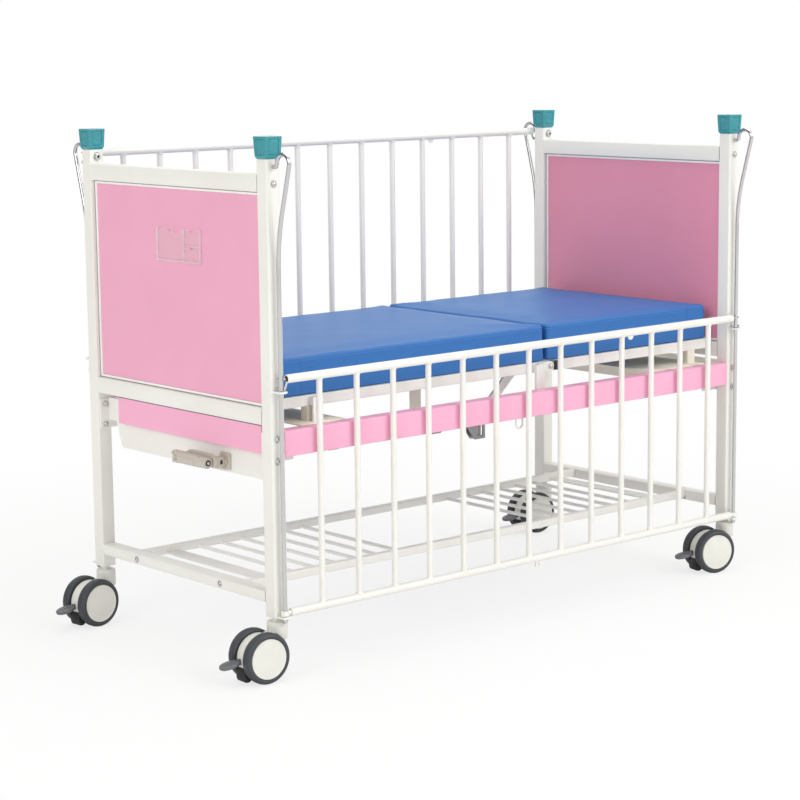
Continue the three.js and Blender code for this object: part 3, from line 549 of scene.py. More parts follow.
def build_post(end, side):
    x = ENDS[end] * POST_X
    sy = SIDES[side]
    piece = Piece()
    outline = rounded_rect(x, sy * POST_Y, 2 * HALF, 2 * HALF, 4.0, 6)
    piece.add(slab("z", outline, POST_BOTTOM, POST_TOP, 1.0))
    root = sy * (Y_OUT - 1.2)
    loop = [(x - LOOP_REACH, root, LOOP_Z)]
    loop += [(u, sy * v, LOOP_Z) for u, v in arc((x, ROD_Y + 2), LOOP_REACH, 180, 0, 18)]
    loop.append((x + LOOP_REACH, root, LOOP_Z))
    piece.add(swept(loop, LOOP_WIRE, 14))
    bead = [(2.6, -0.4), (4.2, -0.2), (4.0, 0.8), (2.6, 2.2)]
    for u in (-LOOP_REACH, LOOP_REACH):
        piece.add(turned(bead, (x + u, sy * Y_OUT, LOOP_Z), (0, sy, 0), 20))
    low = (x - LOOP_REACH, sy * (Y_OUT - 1), POST_BOTTOM)
    high = (x + LOOP_REACH, sy * (ROD_Y + 11), POST_BOTTOM + FOOT_TAB)
    piece.add(block(low, high, 1.6))
    piece.make(f"{end}_{side}_post_tube", "frame", "white_paint", [WHITE], [f"post_{end}_{side}"])


def build_guide_rod(end, side):
    x = ENDS[end] * POST_X
    sy = SIDES[side]
    bend = 8.0
    inner = HALF + 6 + bend
    middle = (HOOK_REACH + inner) / 2
    swing = (HOOK_REACH - inner) / 2
    spring = HOOK_Z + bend
    crown = [(middle + swing * u, spring + (swing - 2) * v) for u, v in arc((0, 0), 1.0, -16, 180, 28)]
    upright = ROD_OFFSET + HALF
    stem = [(upright, ROD_FOOT, 0), (upright, LEAN_Z, 0), (*crown[0], 0)]
    path = [(p.x, p.y) for p in rounded_path(stem, 70, 16)][:-1] + crown
    path += arc((inner - bend, spring), bend, -10, -90, 8)
    path.append((-HALF - 7, HOOK_Z))
    line = [(x, sy * (POST_Y + d), z) for d, z in path]
    piece = Piece().add(swept(line, ROD_RADIUS, 24, 1.2))
    piece.make(f"{end}_{side}_crook", "frame", "chrome_rod", [CHROME], [f"guide_rod_{end}_{side}"])


def cap_recess(u, z, height):
    """Depth of the sunk panel of a cap face, with a groove round its edge."""
    edge = min(14.0 - abs(u), z - 9.0, height - 6.0 - z)
    corner = Vector((abs(u) - 10.0, 13.0 - z))
    if corner.x > 0 and corner.y > 0:
        edge = min(edge, 4.0 - corner.length)
    if edge <= -0.4:
        return 0.0
    rim = min((edge + 0.4) / 0.6, 1.0)
    return rim * (0.7 + 1.1 * max(0.0, 1.0 - max(edge - 0.6, 0.0) / 1.3))


def build_cap(end, side):
    """Flared cap with one sunk panel on each face."""
    x = ENDS[end] * POST_X
    y = SIDES[side] * POST_Y
    foot = POST_TOP + 0.3
    height = span(f"corner_cap_{end}_{side}")[1].z - foot
    levels = [(0.0, 18.6), (0.3, 19.0), (2.6, 20.4), (4.4, 21.4), (5.4, 21.8)]
    rows = 44
    columns = 56
    for i in range(1, rows + 1):
        t = i / rows
        levels.append((5.4 + (height - 8.0) * t, 21.8 + 2.1 * t))
    levels += [(height - 1.4, 23.9), (height - 0.6, 23.6), (height - 0.1, 22.9)]
    levels += [(height, 22.0), (height, 4.0)]
    points = []
    for z, half in levels:
        ring = []
        for face in range(4):
            normal = Vector((math.cos(face * math.pi / 2), math.sin(face * math.pi / 2)))
            across = Vector((-normal.y, normal.x))
            radius = min(3.4, half * 0.4)
            for k in range(columns + 1):
                u = (half - radius) * (2 * k / columns - 1)
                ring.append(normal * (half - cap_recess(u, z, height)) + across * u)
            corner = (normal + across) * (half - radius)
            for k in range(1, 6):
                angle = face * math.pi / 2 + math.pi / 2 * k / 6
                ring.append(corner + Vector((math.cos(angle), math.sin(angle))) * radius)
        points += [Vector((x + p.x, y + p.y, foot + z)) for p in ring]
    piece = Piece().add(closed_rings(points, len(points) // len(levels)))
    piece.make(f"{end}_{side}_cap", "frame", "teal_plastic", [TEAL], [f"corner_cap_{end}_{side}"], 50)


for corner in CORNERS:
    build_post(*corner)
    build_guide_rod(*corner)
    build_cap(*corner)


# Gates

def build_gate(name, sy):
    y = sy * ROD_Y
    top = span(name)[1].z - GATE_RAIL_RADIUS * math.cos(math.pi / 12)
    bottom = top - GATE_HEIGHT
    reach = POST_X - ROD_RADIUS - 11
    piece = Piece()
    for z in (top, bottom):
        piece.add(swept([(-reach, y, z), (0, y, z), (reach, y, z)], GATE_RAIL_RADIUS - 0.1, 32, 2.0))
    pitch = 2 * POST_X / (BAR_COUNT + 1)
    bead = [(BAR_RADIUS + out, z) for out, z in ((0, 14.0), (0.5, 11.6), (1.7, 9.4), (2.2, 6.0))]
    for i in range(1, BAR_COUNT + 1):
        x = -POST_X + pitch * i
        piece.add(swept([(x, y, bottom), (x, y, top)], BAR_RADIUS, 24))
        piece.add(turned(bead, (x, y, bottom), (0, 0, 1), 24))
        piece.add(turned(bead, (x, y, top), (0, 0, -1), 24))
    tab = arc((POST_X * 0.47, top - GATE_RAIL_RADIUS), 9.5, 0, 351, 39)
    piece.add(slab("y", tab, y - 2, y + 2, 0.7))
    x = POST_X * 0.04
    lug = [(3.8, -1.6), (4.2, -2.0), (9.4, -2.0), (10.0, -1.4), (10.0, 1.4)]
    lug += [(9.4, 2.0), (4.2, 2.0), (3.8, 1.6), (3.8, -1.6)]
    piece.add(turned_ring(lug, (x, y, bottom - 18), (0, 1, 0)))
    piece.add(block((x - 9.6, y - 1.9, bottom - 12.4), (x + 9.6, y + 1.9, bottom - 5), 0.8))
    grip = ROD_RADIUS + SLIDE_FIT
    for sx in (-1, 1):
        ring = [(grip, -5.0), (grip + 0.8, -6.0), (grip + 3.8, -6.0), (grip + 4.5, -5.2)]
        ring += [(grip + 4.5, 5.2), (grip + 3.8, 6.0), (grip + 0.8, 6.0), (grip, 5.0), (grip, -5.0)]
        piece.add(turned_ring(ring, (sx * POST_X, y, bottom), (0, 0, 1)))
        stub = [(sx * (reach - 3), y, bottom), (sx * (POST_X - grip - 2.5), y, bottom)]
        piece.add(swept(stub, 5.5, 20))
    piece.make(f"{name}_bars", name, "white_paint", [WHITE], [name])
    eyes = Piece()
    claw = LOOP_Z + LOOP_WIRE + 0.6 + (top - GATE_LOW_Z)
    wire = 2.1
    bend = grip + wire + 0.1
    for sx in (-1, 1):
        for z in (claw + wire, claw + 8 - wire, top + 1.4):
            coil = [(-bend, 5.0)] + arc((0, 0), bend, 180, 360, 20) + [(bend, 5.0)]
            coil = [(sx * (POST_X - u), y + sy * v, z) for u, v in coil]
            eyes.add(swept(coil, wire, 16, 0.7))
        shank = [(bend + 0.6, claw + 4), (bend + 5, claw + 4), (bend + 8, claw + 12), (bend + 12, top)]
        shank = rounded_path([(sx * (POST_X - u), y, z) for u, z in shank], 5)
        eyes.add(swept(shank, 2.6, 20))
        eyes.add(swept([(sx * (POST_X - bend), y, top), (sx * (reach - 4), y, top)], 2.6, 20))
        # Painted shade: a black disc at each top rail end stands in for the dark inside of the open tube.
        tube_end_shade = [(0, -1), (7.2, -1), (7.2, 0.2), (6.8, 0.4), (0, 0.4)]
        eyes.add(turned(tube_end_shade, (sx * (reach - 0.2), y, top), (sx, 0, 0), 32), 1)
    eyes.make(f"{name}_eyes", name, "chrome_rod", [CHROME, BLACK])


build_gate("front_gate", -1)
build_gate("rear_gate", 1)


# End frames and bed frame: finished copies of their nodes

for end in ENDS:
    dress([f"{end}_{rail}" for rail in ("top_rail", "bottom_rail", "lower_rail")], WHITE)
    dress([f"{end}_panel_trim"], TRIM, 1.2)
    # The head panel takes the darker pink, which is painted shade.
    dress([f"{end}_panel"], PANEL if end == "foot" else SHADED_PINK, 0.5)
dress(["foot_cross_rail"], PINK, 1.0)
dress(["head_cross_rail"], WHITE, 1.0)
dress([f"corner_bracket_{end}_{side}" for end, side in CORNERS], WHITE)
dress(["crank_apron"], WHITE)
dress(["backrest_deck"], WHITE, 0.8, "backrest")
dress(["head_support_plate"], BEIGE, 0.8)
dress(["crank_bearing"], CAST, 1.2)


def build_shade_lines():
    """Painted shade: a thin grey line between each panel's trim and its posts and rails, on both faces,
    standing in for the shade in that recess.
    """
    width = 2.2
    piece = Piece()
    for end in ENDS:
        low, high = span(f"{end}_panel_trim")
        for x in (low.x, high.x):
            near, far = x - 0.5, x + 0.5
            for z0, z1 in ((low.z, low.z + width), (high.z - width, high.z)):
                piece.add(block((near, low.y, z0), (far, high.y, z1), 0.3))
            for y0, y1 in ((low.y, low.y + width), (high.y - width, high.y)):
                piece.add(block((near, y0, low.z), (far, y1, high.z), 0.3))
    low, high = span("foot_cross_rail")
    # Painted shadow: a grey line along the top of the foot cross rail stands in for the shadow under the
    # bottom rail.
    piece.add(block((low.x - 0.5, low.y, high.z - 3.0), (low.x + 1, high.y, high.z), 0.3), 1)
    piece.make("panel_shade_lines", "frame", "grey_plastic", [SHADE_GREY, GREY])


build_shade_lines()


# Side rails with their wire staples, and the fixed deck with its plate

def build_side_rail(side):
    low, high = span(f"side_rail_{side}")
    sy = SIDES[side]
    base = high.z - RAIL_HEIGHT
    piece = Piece()
    outline = rounded_rect(sy * POST_Y, base + RAIL_HEIGHT / 2, 2 * HALF, RAIL_HEIGHT, 3.0, 5)
    piece.add(slab("x", outline, low.x, high.x, 0.5))
    x = -13.0
    y = sy * (Y_OUT - 9)
    bow = arc((x, base - 14), 11, 180, 360, 18)
    staple = [(x - 11, base + 1)] + bow + [(x + 11, base + 1)]
    piece.add(swept([(u, y, v) for u, v in staple], 2.5, 16), 1)
    piece.make(f"side_rail_{side}_tube", "frame", "pink_paint", [PINK, WHITE], [f"side_rail_{side}"])


def build_foot_deck():
    start = span("foot_deck")[0].x
    stop = HINGE.x - 18
    middle = DECK_HALF - DECK_TUBE / 2
    inner = DECK_HALF - DECK_TUBE
    reach = DECK_HALF - 12
    piece = Piece()
    piece.add(block((start, -middle, DECK_BOTTOM), (start + DECK_TUBE, middle, DECK_TOP), 3.0))
    for x in np.linspace(start + 60, HINGE.x - 62, DECK_SLATS):
        low = (x - DECK_SLAT, -reach, DECK_TOP - 8)
        piece.add(block(low, (x + DECK_SLAT, reach, DECK_TOP - 0.1), 1.6))
    for sy in (-1, 1):
        wall = sy * (Y_IN - 0.3)
        side = sy * (DECK_HALF - 1)
        piece.add(block((start, sy * DECK_HALF, DECK_BOTTOM), (stop, sy * inner, DECK_TOP), 3.0))
        for x in (start + 108, HINGE.x - 42):
            piece.add(block((x - 15, wall - sy * 6, 534), (x + 15, wall, DECK_TOP - 4), 1.6))
            piece.add(block((x - 13.6, side, DECK_BOTTOM + 2), (x + 13.6, wall - sy, DECK_TOP - 5), 1.2))
        cheek = [(HINGE.x - 40, HINGE.z - 12), (HINGE.x, HINGE.z - 12)]
        cheek += arc((HINGE.x, HINGE.z), 12.4, -84, 84, 16)
        cheek += [(HINGE.x, HINGE.z + 12), (HINGE.x - 40, HINGE.z + 12)]
        near, far = sorted((sy * (DECK_HALF + 0.3), sy * CHEEK_OUT))
        piece.add(slab("y", cheek, near, far, 1.0))
        low = (HINGE.x - 38, sy * (DECK_HALF - 2), HINGE.z - 10.5)
        piece.add(block(low, (stop - 2.4, sy * (DECK_HALF + 4), HINGE.z + 10.5), 0.6))
    piece.make("foot_deck_frame", "frame", "white_paint", [WHITE], ["foot_deck"])
    plate = Piece()
    near, far = start * 0.94, start * 0.76
    plate.add(block((near, -POST_Y + 5, PLATE_Z), (far, POST_Y - 5, PLATE_Z + PLATE_THICK), 1.2))
    plate.add(block((far - PLATE_THICK, -Y_IN + 4, LIP_LOW), (far, Y_IN - 4, LIP_TOP), 0.8))
    for sy in (-1, 1):
        low = (near + 44, sy * DECK_HALF, LIP_TOP)
        plate.add(block(low, (near + 72, sy * inner, DECK_BOTTOM + 0.6), 1.2))
    low = (HANGER_X - 18, CRANK.y + 22, 524)
    plate.add(block(low, (HANGER_X + 18, CRANK.y + 26, DECK_BOTTOM + 1), 1.2))
    plate.make("foot_deck_plate", "frame", "cream_paint", [BEIGE])


for side in SIDES:
    build_side_rail(side)
build_foot_deck()


# Card pocket: clear sheets on a rim, with a divider

def build_pocket():
    low, high = span("card_pocket")
    piece = Piece()
    rim = 4.0
    y0, y1, z0, z1 = low.y, high.y, low.z, high.z
    divide = y1 - (y1 - y0) * 0.62
    shelf = (z0 + z1) / 2
    front = [(y0, z0), (y1, z0), (y1, z1)]
    notch = arc(((y0 + y1) / 2, z1 + 4), 18.0, -13, -167, 16)
    front = softened(front, 2.0) + notch + softened([(y0, z1)] + front[:1], 0.1)[:1]
    piece.add(slab("x", front, low.x, low.x + 2.2, 0.5))
    for a, b in ((y0, y0 + rim), (y1 - rim, y1), (divide - 1.4, divide + 1.4)):
        piece.add(block((low.x + 2.3, a, z0), (high.x, b, z1), 0.6), 1)
    piece.add(block((low.x + 2.3, y0 + rim, z0), (high.x, y1 - rim, z0 + rim), 0.6), 1)
    piece.add(block((low.x + 2.3, y0 + rim, shelf - 1.4), (high.x, divide - 1.4, shelf + 1.4), 0.6), 1)
    piece.make("card_pocket_sheets", "frame", "clear_plastic", [CLEAR, RIM], ["card_pocket"])
    marks = Piece()
    wide = (divide + y1) / 2
    narrow = (y0 + divide) / 2
    x = low.x + 0.6
    for y, z in ((wide, z1 - 7), (narrow, z1 - 7), (narrow, shelf - 7)):
        marks.add(swept([(x, y - 5, z + 4), (x, y, z), (x, y + 5, z + 4)], 0.9, 10))
    marks.make("card_pocket_marks", "frame", "pink_panel", [SHADED_PINK])


build_pocket()


# Crank: an arm with its shaft and screw, a grip that folds on the arm, and the push tube

def build_crank():
    tip = span("crank_arm")[1].x
    back = -X_OUT - 6
    front = back - 6
    piece = Piece()
    hub, end = CRANK.y, GRIP.y
    outline = [(hub - 12.0, -6), (hub - 6, -11.5), (end + 3, -11), (end + 10, -5)]
    outline += [(end + 11, 4), (end + 5, 10.5), (end - 20, 11), (end - 36, 20)]
    outline += [(hub + 14, 20), (hub - 6, 13), (hub - 12.5, 5)]
    outline = [(u, CRANK.z + v) for u, v in outline]
    piece.add(slab("x", softened(outline, 7.0, 6), front, back, 1.4))
    coupling = rounded_rect(CRANK.y, CRANK.z, 25, 25, 5, 5)
    piece.add(slab("x", coupling, back - 1, back + 17.5, 1.4))
    # Painted shade: a black block on the coupling's face stands in for the dark inside of its square socket.
    socket_shade = block((back + 5, CRANK.y - 12.9, CRANK.z - 4.5), (back + 12, CRANK.y - 9, CRANK.z + 5.5), 0.6)
    piece.add(socket_shade, 1)
    knuckle = [(0, -6), (8, -6), (9, -5.2), (9, 5.2), (8, 6), (0, 6)]
    piece.add(turned(knuckle, GRIP, (0, 0, 1), 32))
    lug = [(GRIP.x, end - 8.8), (front + 2, end - 8.8), (front + 2, end + 8.8), (GRIP.x, end + 8.8)]
    piece.add(slab("z", lug, CRANK.z - 5.9, CRANK.z + 5.9, 0.6))
    # Painted shade: a thin black plate on the arm's front, a little larger than the grip, stands in for the
    # shadow gap between arm and grip.
    gap_shade = rounded_rect((hub + end) / 2, CRANK.z, 30, 13, 3, 4)
    piece.add(slab("x", gap_shade, front - 2.4, front + 1, 0.8), 1)
    inside = -POST_X + 11.5
    stem = [(0, back), (6, back), (6, inside + 1), (10, inside + 1), (10, inside + 10), (6, inside + 10)]
    pitch = 4.0
    for i in range(int((tip - inside - 16) / pitch)):
        at = inside + 12 + pitch * i
        stem += [(5.9, at), (5.9, at + 0.8), (5.1, at + 1.8), (5.1, at + 2.4), (5.9, at + 3.4)]
    stem += [(5.4, tip - 1), (4.0, tip), (0, tip)]
    piece.add(turned(stem, (0, CRANK.y, CRANK.z), (1, 0, 0), 24), 2)
    piece.make("crank_arm_casting", "crank", "bare_steel", [CAST, BLACK, STEEL], ["crank_arm"])


def build_grip():
    x, y, z = GRIP
    tip = span("crank_grip")[0].y
    barrel = tip + 31
    piece = Piece()
    body = rounded_rect(x, z, 20, 27.4, 5.5, 6)
    piece.add(slab("y", body, barrel + 0.8, y - 14, 1.6))
    for side in (-1, 1):
        inner = z + side * 6.3
        outer = z + side * 13.7
        eye = arc((x, y), 10.0, 0, 180, 20)
        eye += [(x - 10, y - 18), (x + 10, y - 18)]
        piece.add(slab("z", eye, min(inner, outer), max(inner, outer), 2.2, 4))
    panel = rounded_rect((barrel + y) / 2 - 2, z - 3.4, y - barrel - 34, 15.5, 4.0, 5)
    piece.add(slab("x", panel, x - 11.4, x - 8, 1.0))
    axis = aim((x - 1.6, tip, z), (0, 1, 0))
    drum = [(0, 0), (11.2, 0), (12.6, 0.5), (13.4, 1.8), (13.6, 3.6), (13.6, 28.5)]
    drum += [(13.2, 29.8), (12.4, 30.4), (9.0, 30.6), (9.0, 34.0), (0, 34.0)]
    piece.add(moved(lathe(drum, 48), axis))
    ring = [(0, 1.0), (6.8, 1.0), (7.2, 0.4), (7.2, -0.5), (0, -0.5)]
    piece.add(moved(lathe(ring[::-1], 32), axis), 1)
    screw = [(0, -2.4), (2.2, -2.3), (3.6, -1.8), (4.0, -1.1), (4.0, 1.0), (0, 1.0)]
    piece.add(moved(lathe(screw, 28), axis), 2)
    rivet = [(0, -15.4), (2.6, -15.4), (4.6, -14.8), (5.0, -13.9)]
    rivet += [(r, -along) for r, along in reversed(rivet)]
    piece.add(turned(rivet, GRIP, (0, 0, 1), 28), 2)
    piece.add(bolt_head((x - 9.9, y - 2, z + 10), (-1, 0, 0), 1.8), 2)
    piece.make("crank_grip_handle", "crank_grip", "grey_plastic", [CAST, BLACK, STEEL], ["crank_grip"])


def build_push_tube():
    """The tube that the screw drives, with a slotted fork for the backrest's pin."""
    low, high = span("push_tube")
    y, z = CRANK.y, CRANK.z
    pin = high.x - 20
    fork = pin - 46
    piece = Piece()
    tube = [(0, low.x), (15.4, low.x), (16, low.x + 0.6), (16, low.x + 29), (13, low.x + 31)]
    collar = [(13, -129), (17.4, -128), (18, -127), (18, -89), (17.4, -88), (13, -87), (13, 6), (0, 6)]
    tube += [(r, fork + along) for r, along in collar]
    piece.add(turned(tube, (0, y, z), (1, 0, 0), 40))
    piece.add(block((fork, y - 11, z - 15.5), (fork + 13, y + 11, z + 15.5), 1.6))
    for side in (-1, 1):
        near, far = sorted((y + side * 5.2, y + side * 10.8))
        gusset = [(fork + 2, z - 14), (pin - 19, low.z), (pin - 9.6, low.z)]
        gusset += [(pin - 9.6, z + 15.6), (fork + 2, z + 14)]
        piece.add(slab("y", softened(gusset, 2.5, 3), near, far, 0.8))
        piece.add(block((pin + 9.6, near, low.z), (pin + 17, far, z + 15.6), 1.0))
        for base in (low.z, z + 7.6):
            piece.add(block((pin - 11, near, base), (pin + 11, far, base + 8), 1.0))
    piece.make("push_tube_link", "push_tube", "bare_steel", [DARK], ["push_tube"])
    clip = Piece()
    bow = [(0, 0, -9), (0, 0, 9), (5, -1, 13), (9, -1, 8), (5, -1, 3), (9, -1, -3), (6, -1, -8)]
    bow = [(pin + u, y - 13.6 + v, z + w) for u, v, w in bow]
    clip.add(swept(rounded_path(bow, 3.0, 5), 1.3, 10, 0.5))
    clip.make("horn_pin_clip", "backrest", "bare_steel", [STEEL])


build_crank()
build_grip()
build_push_tube()


# Storage shelf

def build_shelf():
    low, high = span("storage_shelf")
    reach = high.x
    rail = high.y - SHELF_TUBE / 2
    piece = Piece()
    for sy in (-1, 1):
        outline = rounded_rect(sy * rail, low.z + SHELF_TUBE / 2, SHELF_TUBE, SHELF_TUBE, 3.0, 5)
        piece.add(slab("x", outline, -reach, reach, 0.5))
    z = low.z + 5
    inner = rail - 6
    bar = reach - SHELF_END
    for sx in (-1, 1):
        piece.add(block((sx * bar, -inner, z - 2), (sx * (bar + SHELF_BAR), inner, z + 2), 1.0))
        for i in range(1, SHELF_RODS + 1):
            x = sx * (bar - SHELF_PITCH * i)
            piece.add(swept([(x, -inner, z), (x, 0, z), (x, inner, z)], 4.6, 16))
    piece.make("storage_shelf_rods", "frame", "white_paint", [WHITE], ["storage_shelf"])


build_shelf()


# Casters, each in its own swivel frame

HUB = pivot("wheel_spin_foot_front_a") - pivot("swivel_foot_front")
AXLE = Vector(JOINT["wheel_spin_foot_front_a"]["axis"]).normalized()
WHEEL_R = pivot("wheel_spin_foot_front_a").z
WHEEL_Y = abs(HUB.dot(AXLE))
TRAIL = (HUB - AXLE * HUB.dot(AXLE)).to_2d().length
WHEEL_HALF = 13.0
WHEEL_ROOM = 2.5
CUP_GROOVE = 125.0
WEB_TOP = 112.0


def clear_of_wheels(p):
    """Lifts a point of the caster cup out of the space of the wheels."""
    reach = (WHEEL_R + WHEEL_ROOM) ** 2 - (p.x + TRAIL) ** 2
    if abs(p.y) > WHEEL_Y - WHEEL_HALF - 2 and reach > 0 and p.z < CUP_GROOVE:
        p = Vector((p.x, p.y, max(p.z, WHEEL_R + math.sqrt(reach))))
    return p


def build_caster(end, side):
    name = f"{end}_{side}"
    axle = Vector(JOINT[f"wheel_spin_{name}_a"]["axis"]).normalized()
    if axle.y < 0:
        axle = -axle
    along = axle.cross(Vector((0, 0, 1)))
    at = pivot(f"swivel_{name}") - OFFSET
    turn = Matrix((along, axle, (0, 0, 1))).transposed().to_4x4()
    place = Matrix.Translation((at.x, at.y, 0)) @ turn
    neck = POST_BOTTOM - 0.3

    body = Piece()
    cup = [(0, 92), (21.0, 92), (23.2, 93), (24.0, 95.2), (24.0, 123.6), (23.5, 124.2)]
    cup += [(23.5, CUP_GROOVE), (24.0, 125.6), (24.0, 131.0), (23.2, 133.2), (21.2, 134.4)]
    cup += [(11.0, 134.8), (10, 135.6), (10, neck), (0, neck)]
    points, faces = lathe(cup, 64)
    body.add(moved(([clear_of_wheels(p) for p in points], faces), place))
    rear = TRAIL + 50
    low = WHEEL_R - 24
    half = WHEEL_Y - WHEEL_HALF - 1.5
    web = [(18, WEB_TOP), (6, WHEEL_R + 4), (-TRAIL + 12, low), (-TRAIL - 12, low)]
    web += [(-rear + 8, WHEEL_R - 10), (-rear + 8, WHEEL_R + 8), (-TRAIL - 22, WHEEL_R + 34), (-20, WEB_TOP)]
    body.add(moved(slab("y", softened(web, 9.0, 6), -half, half, 1.4), place))
    drum = [(0, -0.9), (15, -0.9), (16, -0.4), (48, 0.6), (51.4, 1.6), (52.2, 3.4)]
    drum = [(r, -half + z) for r, z in drum]
    drum += [(r, -z) for r, z in reversed(drum)]
    body.add(moved(lathe(drum, 64), place @ aim((-TRAIL, 0, WHEEL_R), (0, 1, 0))))
    hook = [(36, 55), (20, 50), (22, 34), (30, 13), (38, 6.5), (50, 8), (54, 18), (51, 32), (48, 43)]
    hook = [(-TRAIL - back, z) for back, z in hook]
    body.add(moved(slab("y", softened(hook, 4.0, 4), -half - 0.3, half + 0.3, 1.2), place), 1)
    nodes = [f"caster_housing_{name}"]
    body.make(f"{name}_caster_body", f"caster_{name}", "cream_plastic", [CREAM, BLACK], nodes)

    for letter, sy in (("a", -1), ("b", 1)):
        spot = place @ aim((-TRAIL, sy * WHEEL_Y, WHEEL_R), (0, sy, 0))
        r = WHEEL_R
        spin = f"wheel_{name}_{letter}"
        tyre = [(20, -11.0), (r - 14, -11.6), (r - 9, -12.6), (r - 5, -12.6), (r - 2.2, -11.4)]
        tyre += [(r - 0.6, -8.8), (r, -5.0), (r, 3.0), (r - 0.6, 6.4), (r - 2.0, 9.4), (r - 4.6, 11.6)]
        tyre += [(r - 7.6, 12.4), (r - 10.6, 12.2), (r - 12.0, 11.2), (r - 12.6, 9.0), (20, 9.0)]
        wheel = Piece().add(moved(lathe(tyre, 72), spot))
        wheel.make(f"{name}_tyre_{letter}", spin, "wheel_tread", [TYRE], [f"caster_{spin}"], 50)
        disc = [(0, 8.0), (r - 13.0, 8.0), (r - 13.0, 11.8), (r - 13.6, 12.9), (r - 14.8, 13.2)]
        disc += [(r - 16.2, 12.9), (r - 17.2, 12.5), (38, 13.0), (28, 13.9)]
        disc += [(18, 14.5), (8, 14.8), (0, 14.9)]
        cover = Piece().add(moved(lathe(disc, 72), spot))
        cover.make(f"{name}_hub_{letter}", spin, "cream_plastic", [CREAM])

    pedal = Piece()
    px, pz = -rear + 8, WHEEL_R - 3
    end = -TRAIL - 70
    arm = [(px + 8, pz - 8), (px + 8, pz + 8), (end, pz + 3), (end, pz - 9)]
    pedal.add(moved(slab("y", softened(arm, 4.0, 4), -3.7, 3.7, 0.8), place))
    leaf = [(9, -8), (9, 8), (-4, 19), (-26, 19), (-41, 9), (-41, -9), (-26, -19), (-4, -19)]
    dip = Matrix.Rotation(math.radians(-10), 4, "Y")
    tilt = place @ Matrix.Translation((-TRAIL - 66, 0, pz - 2)) @ dip
    pedal.add(moved(slab("z", softened(leaf, 9.0, 6), -4.5, 4.0, 2.6, 4), tilt))
    for k in range(4):
        ridge = [(-8 - 7 * k, -9, 4.0), (-8 - 7 * k, 9, 4.0)]
        pedal.add(moved(swept(ridge, 1.0, 10, 0.6), tilt))
    pedal.make(f"{name}_pedal_leaf", f"pedal_{name}", "grey_plastic", [GREY], [f"caster_pedal_{name}"])


for corner in CORNERS:
    build_caster(*corner)


# Mattress cushions: a foam form inflated as cloth, then seamed

SEAM_DROP = 9.5
PLAN_RADIUS = 13.0
EDGE_RADIUS = 8.0
CELL = 13.0
FOAM_INSET = Vector((2.0, 2.0, 0))
FOAM_DROP = Vector((0, 0, 2.5))
SWELL = 6.0
HELD = 3.0
FRAMES = 20
JOINT_X = 668.0
CLOTH = {
    "quality": 5,
    "mass": 0.35,
    "tension_stiffness": 18,
    "compression_stiffness": 18,
    "shear_stiffness": 8,
    "bending_stiffness": 6,
    "use_pressure": True,
    "uniform_pressure_force": 4.0,
    "vertex_group_mass": "held",
}


def cell_lines(low, high, edge):
    """Grid lines from low to high: close at the ends, even between."""
    ends = [0.0, 2.0, 4.0, 6.5, 9.5, edge]
    count = max(int(round((high - low - 2 * edge) / CELL)), 4)
    inner = list(np.linspace(low + edge, high - edge, count + 1)[1:-1])
    return [low + e for e in ends] + inner + [high - e for e in reversed(ends)]


def foam_form(low, high):
    """Points and quads of a closed foam block with rounded corners and edges."""
    height = high.z - low.z
    xs = cell_lines(low.x, high.x, PLAN_RADIUS)
    ys = cell_lines(low.y, high.y, PLAN_RADIUS)
    seam = height - SEAM_DROP
    zs = [0.0, 2.0, 4.5, 9.0, 16.0, 26.0, 37.0, 48.0, 58.0]
    zs += [seam - 9, seam - 4.5, seam - 2.0, seam - 0.9, seam, seam + 0.9, seam + 2.0]
    zs += [height - 5.0, height - 2.5, height]
    index = {}
    points = []
    faces = []

    def vertex(i, j, k):
        key = (i, j, k)
        if key not in index:
            index[key] = len(points)
            points.append(rounded_point(xs[i], ys[j], zs[k], low, high, height))
        return index[key]

    def quad(*corners):
        faces.append([vertex(*corner) for corner in corners])

    nx, ny, nz = len(xs) - 1, len(ys) - 1, len(zs) - 1
    for i in range(nx):
        for j in range(ny):
            quad((i, j, 0), (i, j + 1, 0), (i + 1, j + 1, 0), (i + 1, j, 0))
            quad((i, j, nz), (i + 1, j, nz), (i + 1, j + 1, nz), (i, j + 1, nz))
    for i in range(nx):
        for k in range(nz):
            quad((i, 0, k), (i + 1, 0, k), (i + 1, 0, k + 1), (i, 0, k + 1))
            quad((i, ny, k), (i, ny, k + 1), (i + 1, ny, k + 1), (i + 1, ny, k))
    for j in range(ny):
        for k in range(nz):
            quad((0, j, k), (0, j, k + 1), (0, j + 1, k + 1), (0, j + 1, k))
            quad((nx, j, k), (nx, j + 1, k), (nx, j + 1, k + 1), (nx, j, k + 1))
    return points, faces


def rounded_point(x, y, z, low, high, height):
    """A point of the box moved onto rounded plan corners and a rounded top and bottom edge."""
    mx = (low.x + high.x) / 2
    my = (low.y + high.y) / 2
    a = (high.x - low.x) / 2
    b = (high.y - low.y) / 2
    px, py = x - mx, y - my
    inside = min(a - abs(px), b - abs(py))
    qx = max(-(a - PLAN_RADIUS), min(a - PLAN_RADIUS, px))
    qy = max(-(b - PLAN_RADIUS), min(b - PLAN_RADIUS, py))
    d = Vector((px - qx, py - qy))
    out = Vector((0, 0))
    if d.length > 1e-6:
        out = d.normalized()
        d = out * max(abs(d.x), abs(d.y))
    level = z
    r = EDGE_RADIUS
    for edge_z in (height, 0.0):
        drop = abs(edge_z - z)
        if inside < r and drop < r:
            e = Vector((r - inside, r - drop))
            f = e * (max(e) / e.length)
            d -= out * (e.x - f.x)
            level = height - (r - f.y) if edge_z else r - f.y
    return Vector((mx + qx + d.x, my + qy + d.y, low.z + level))


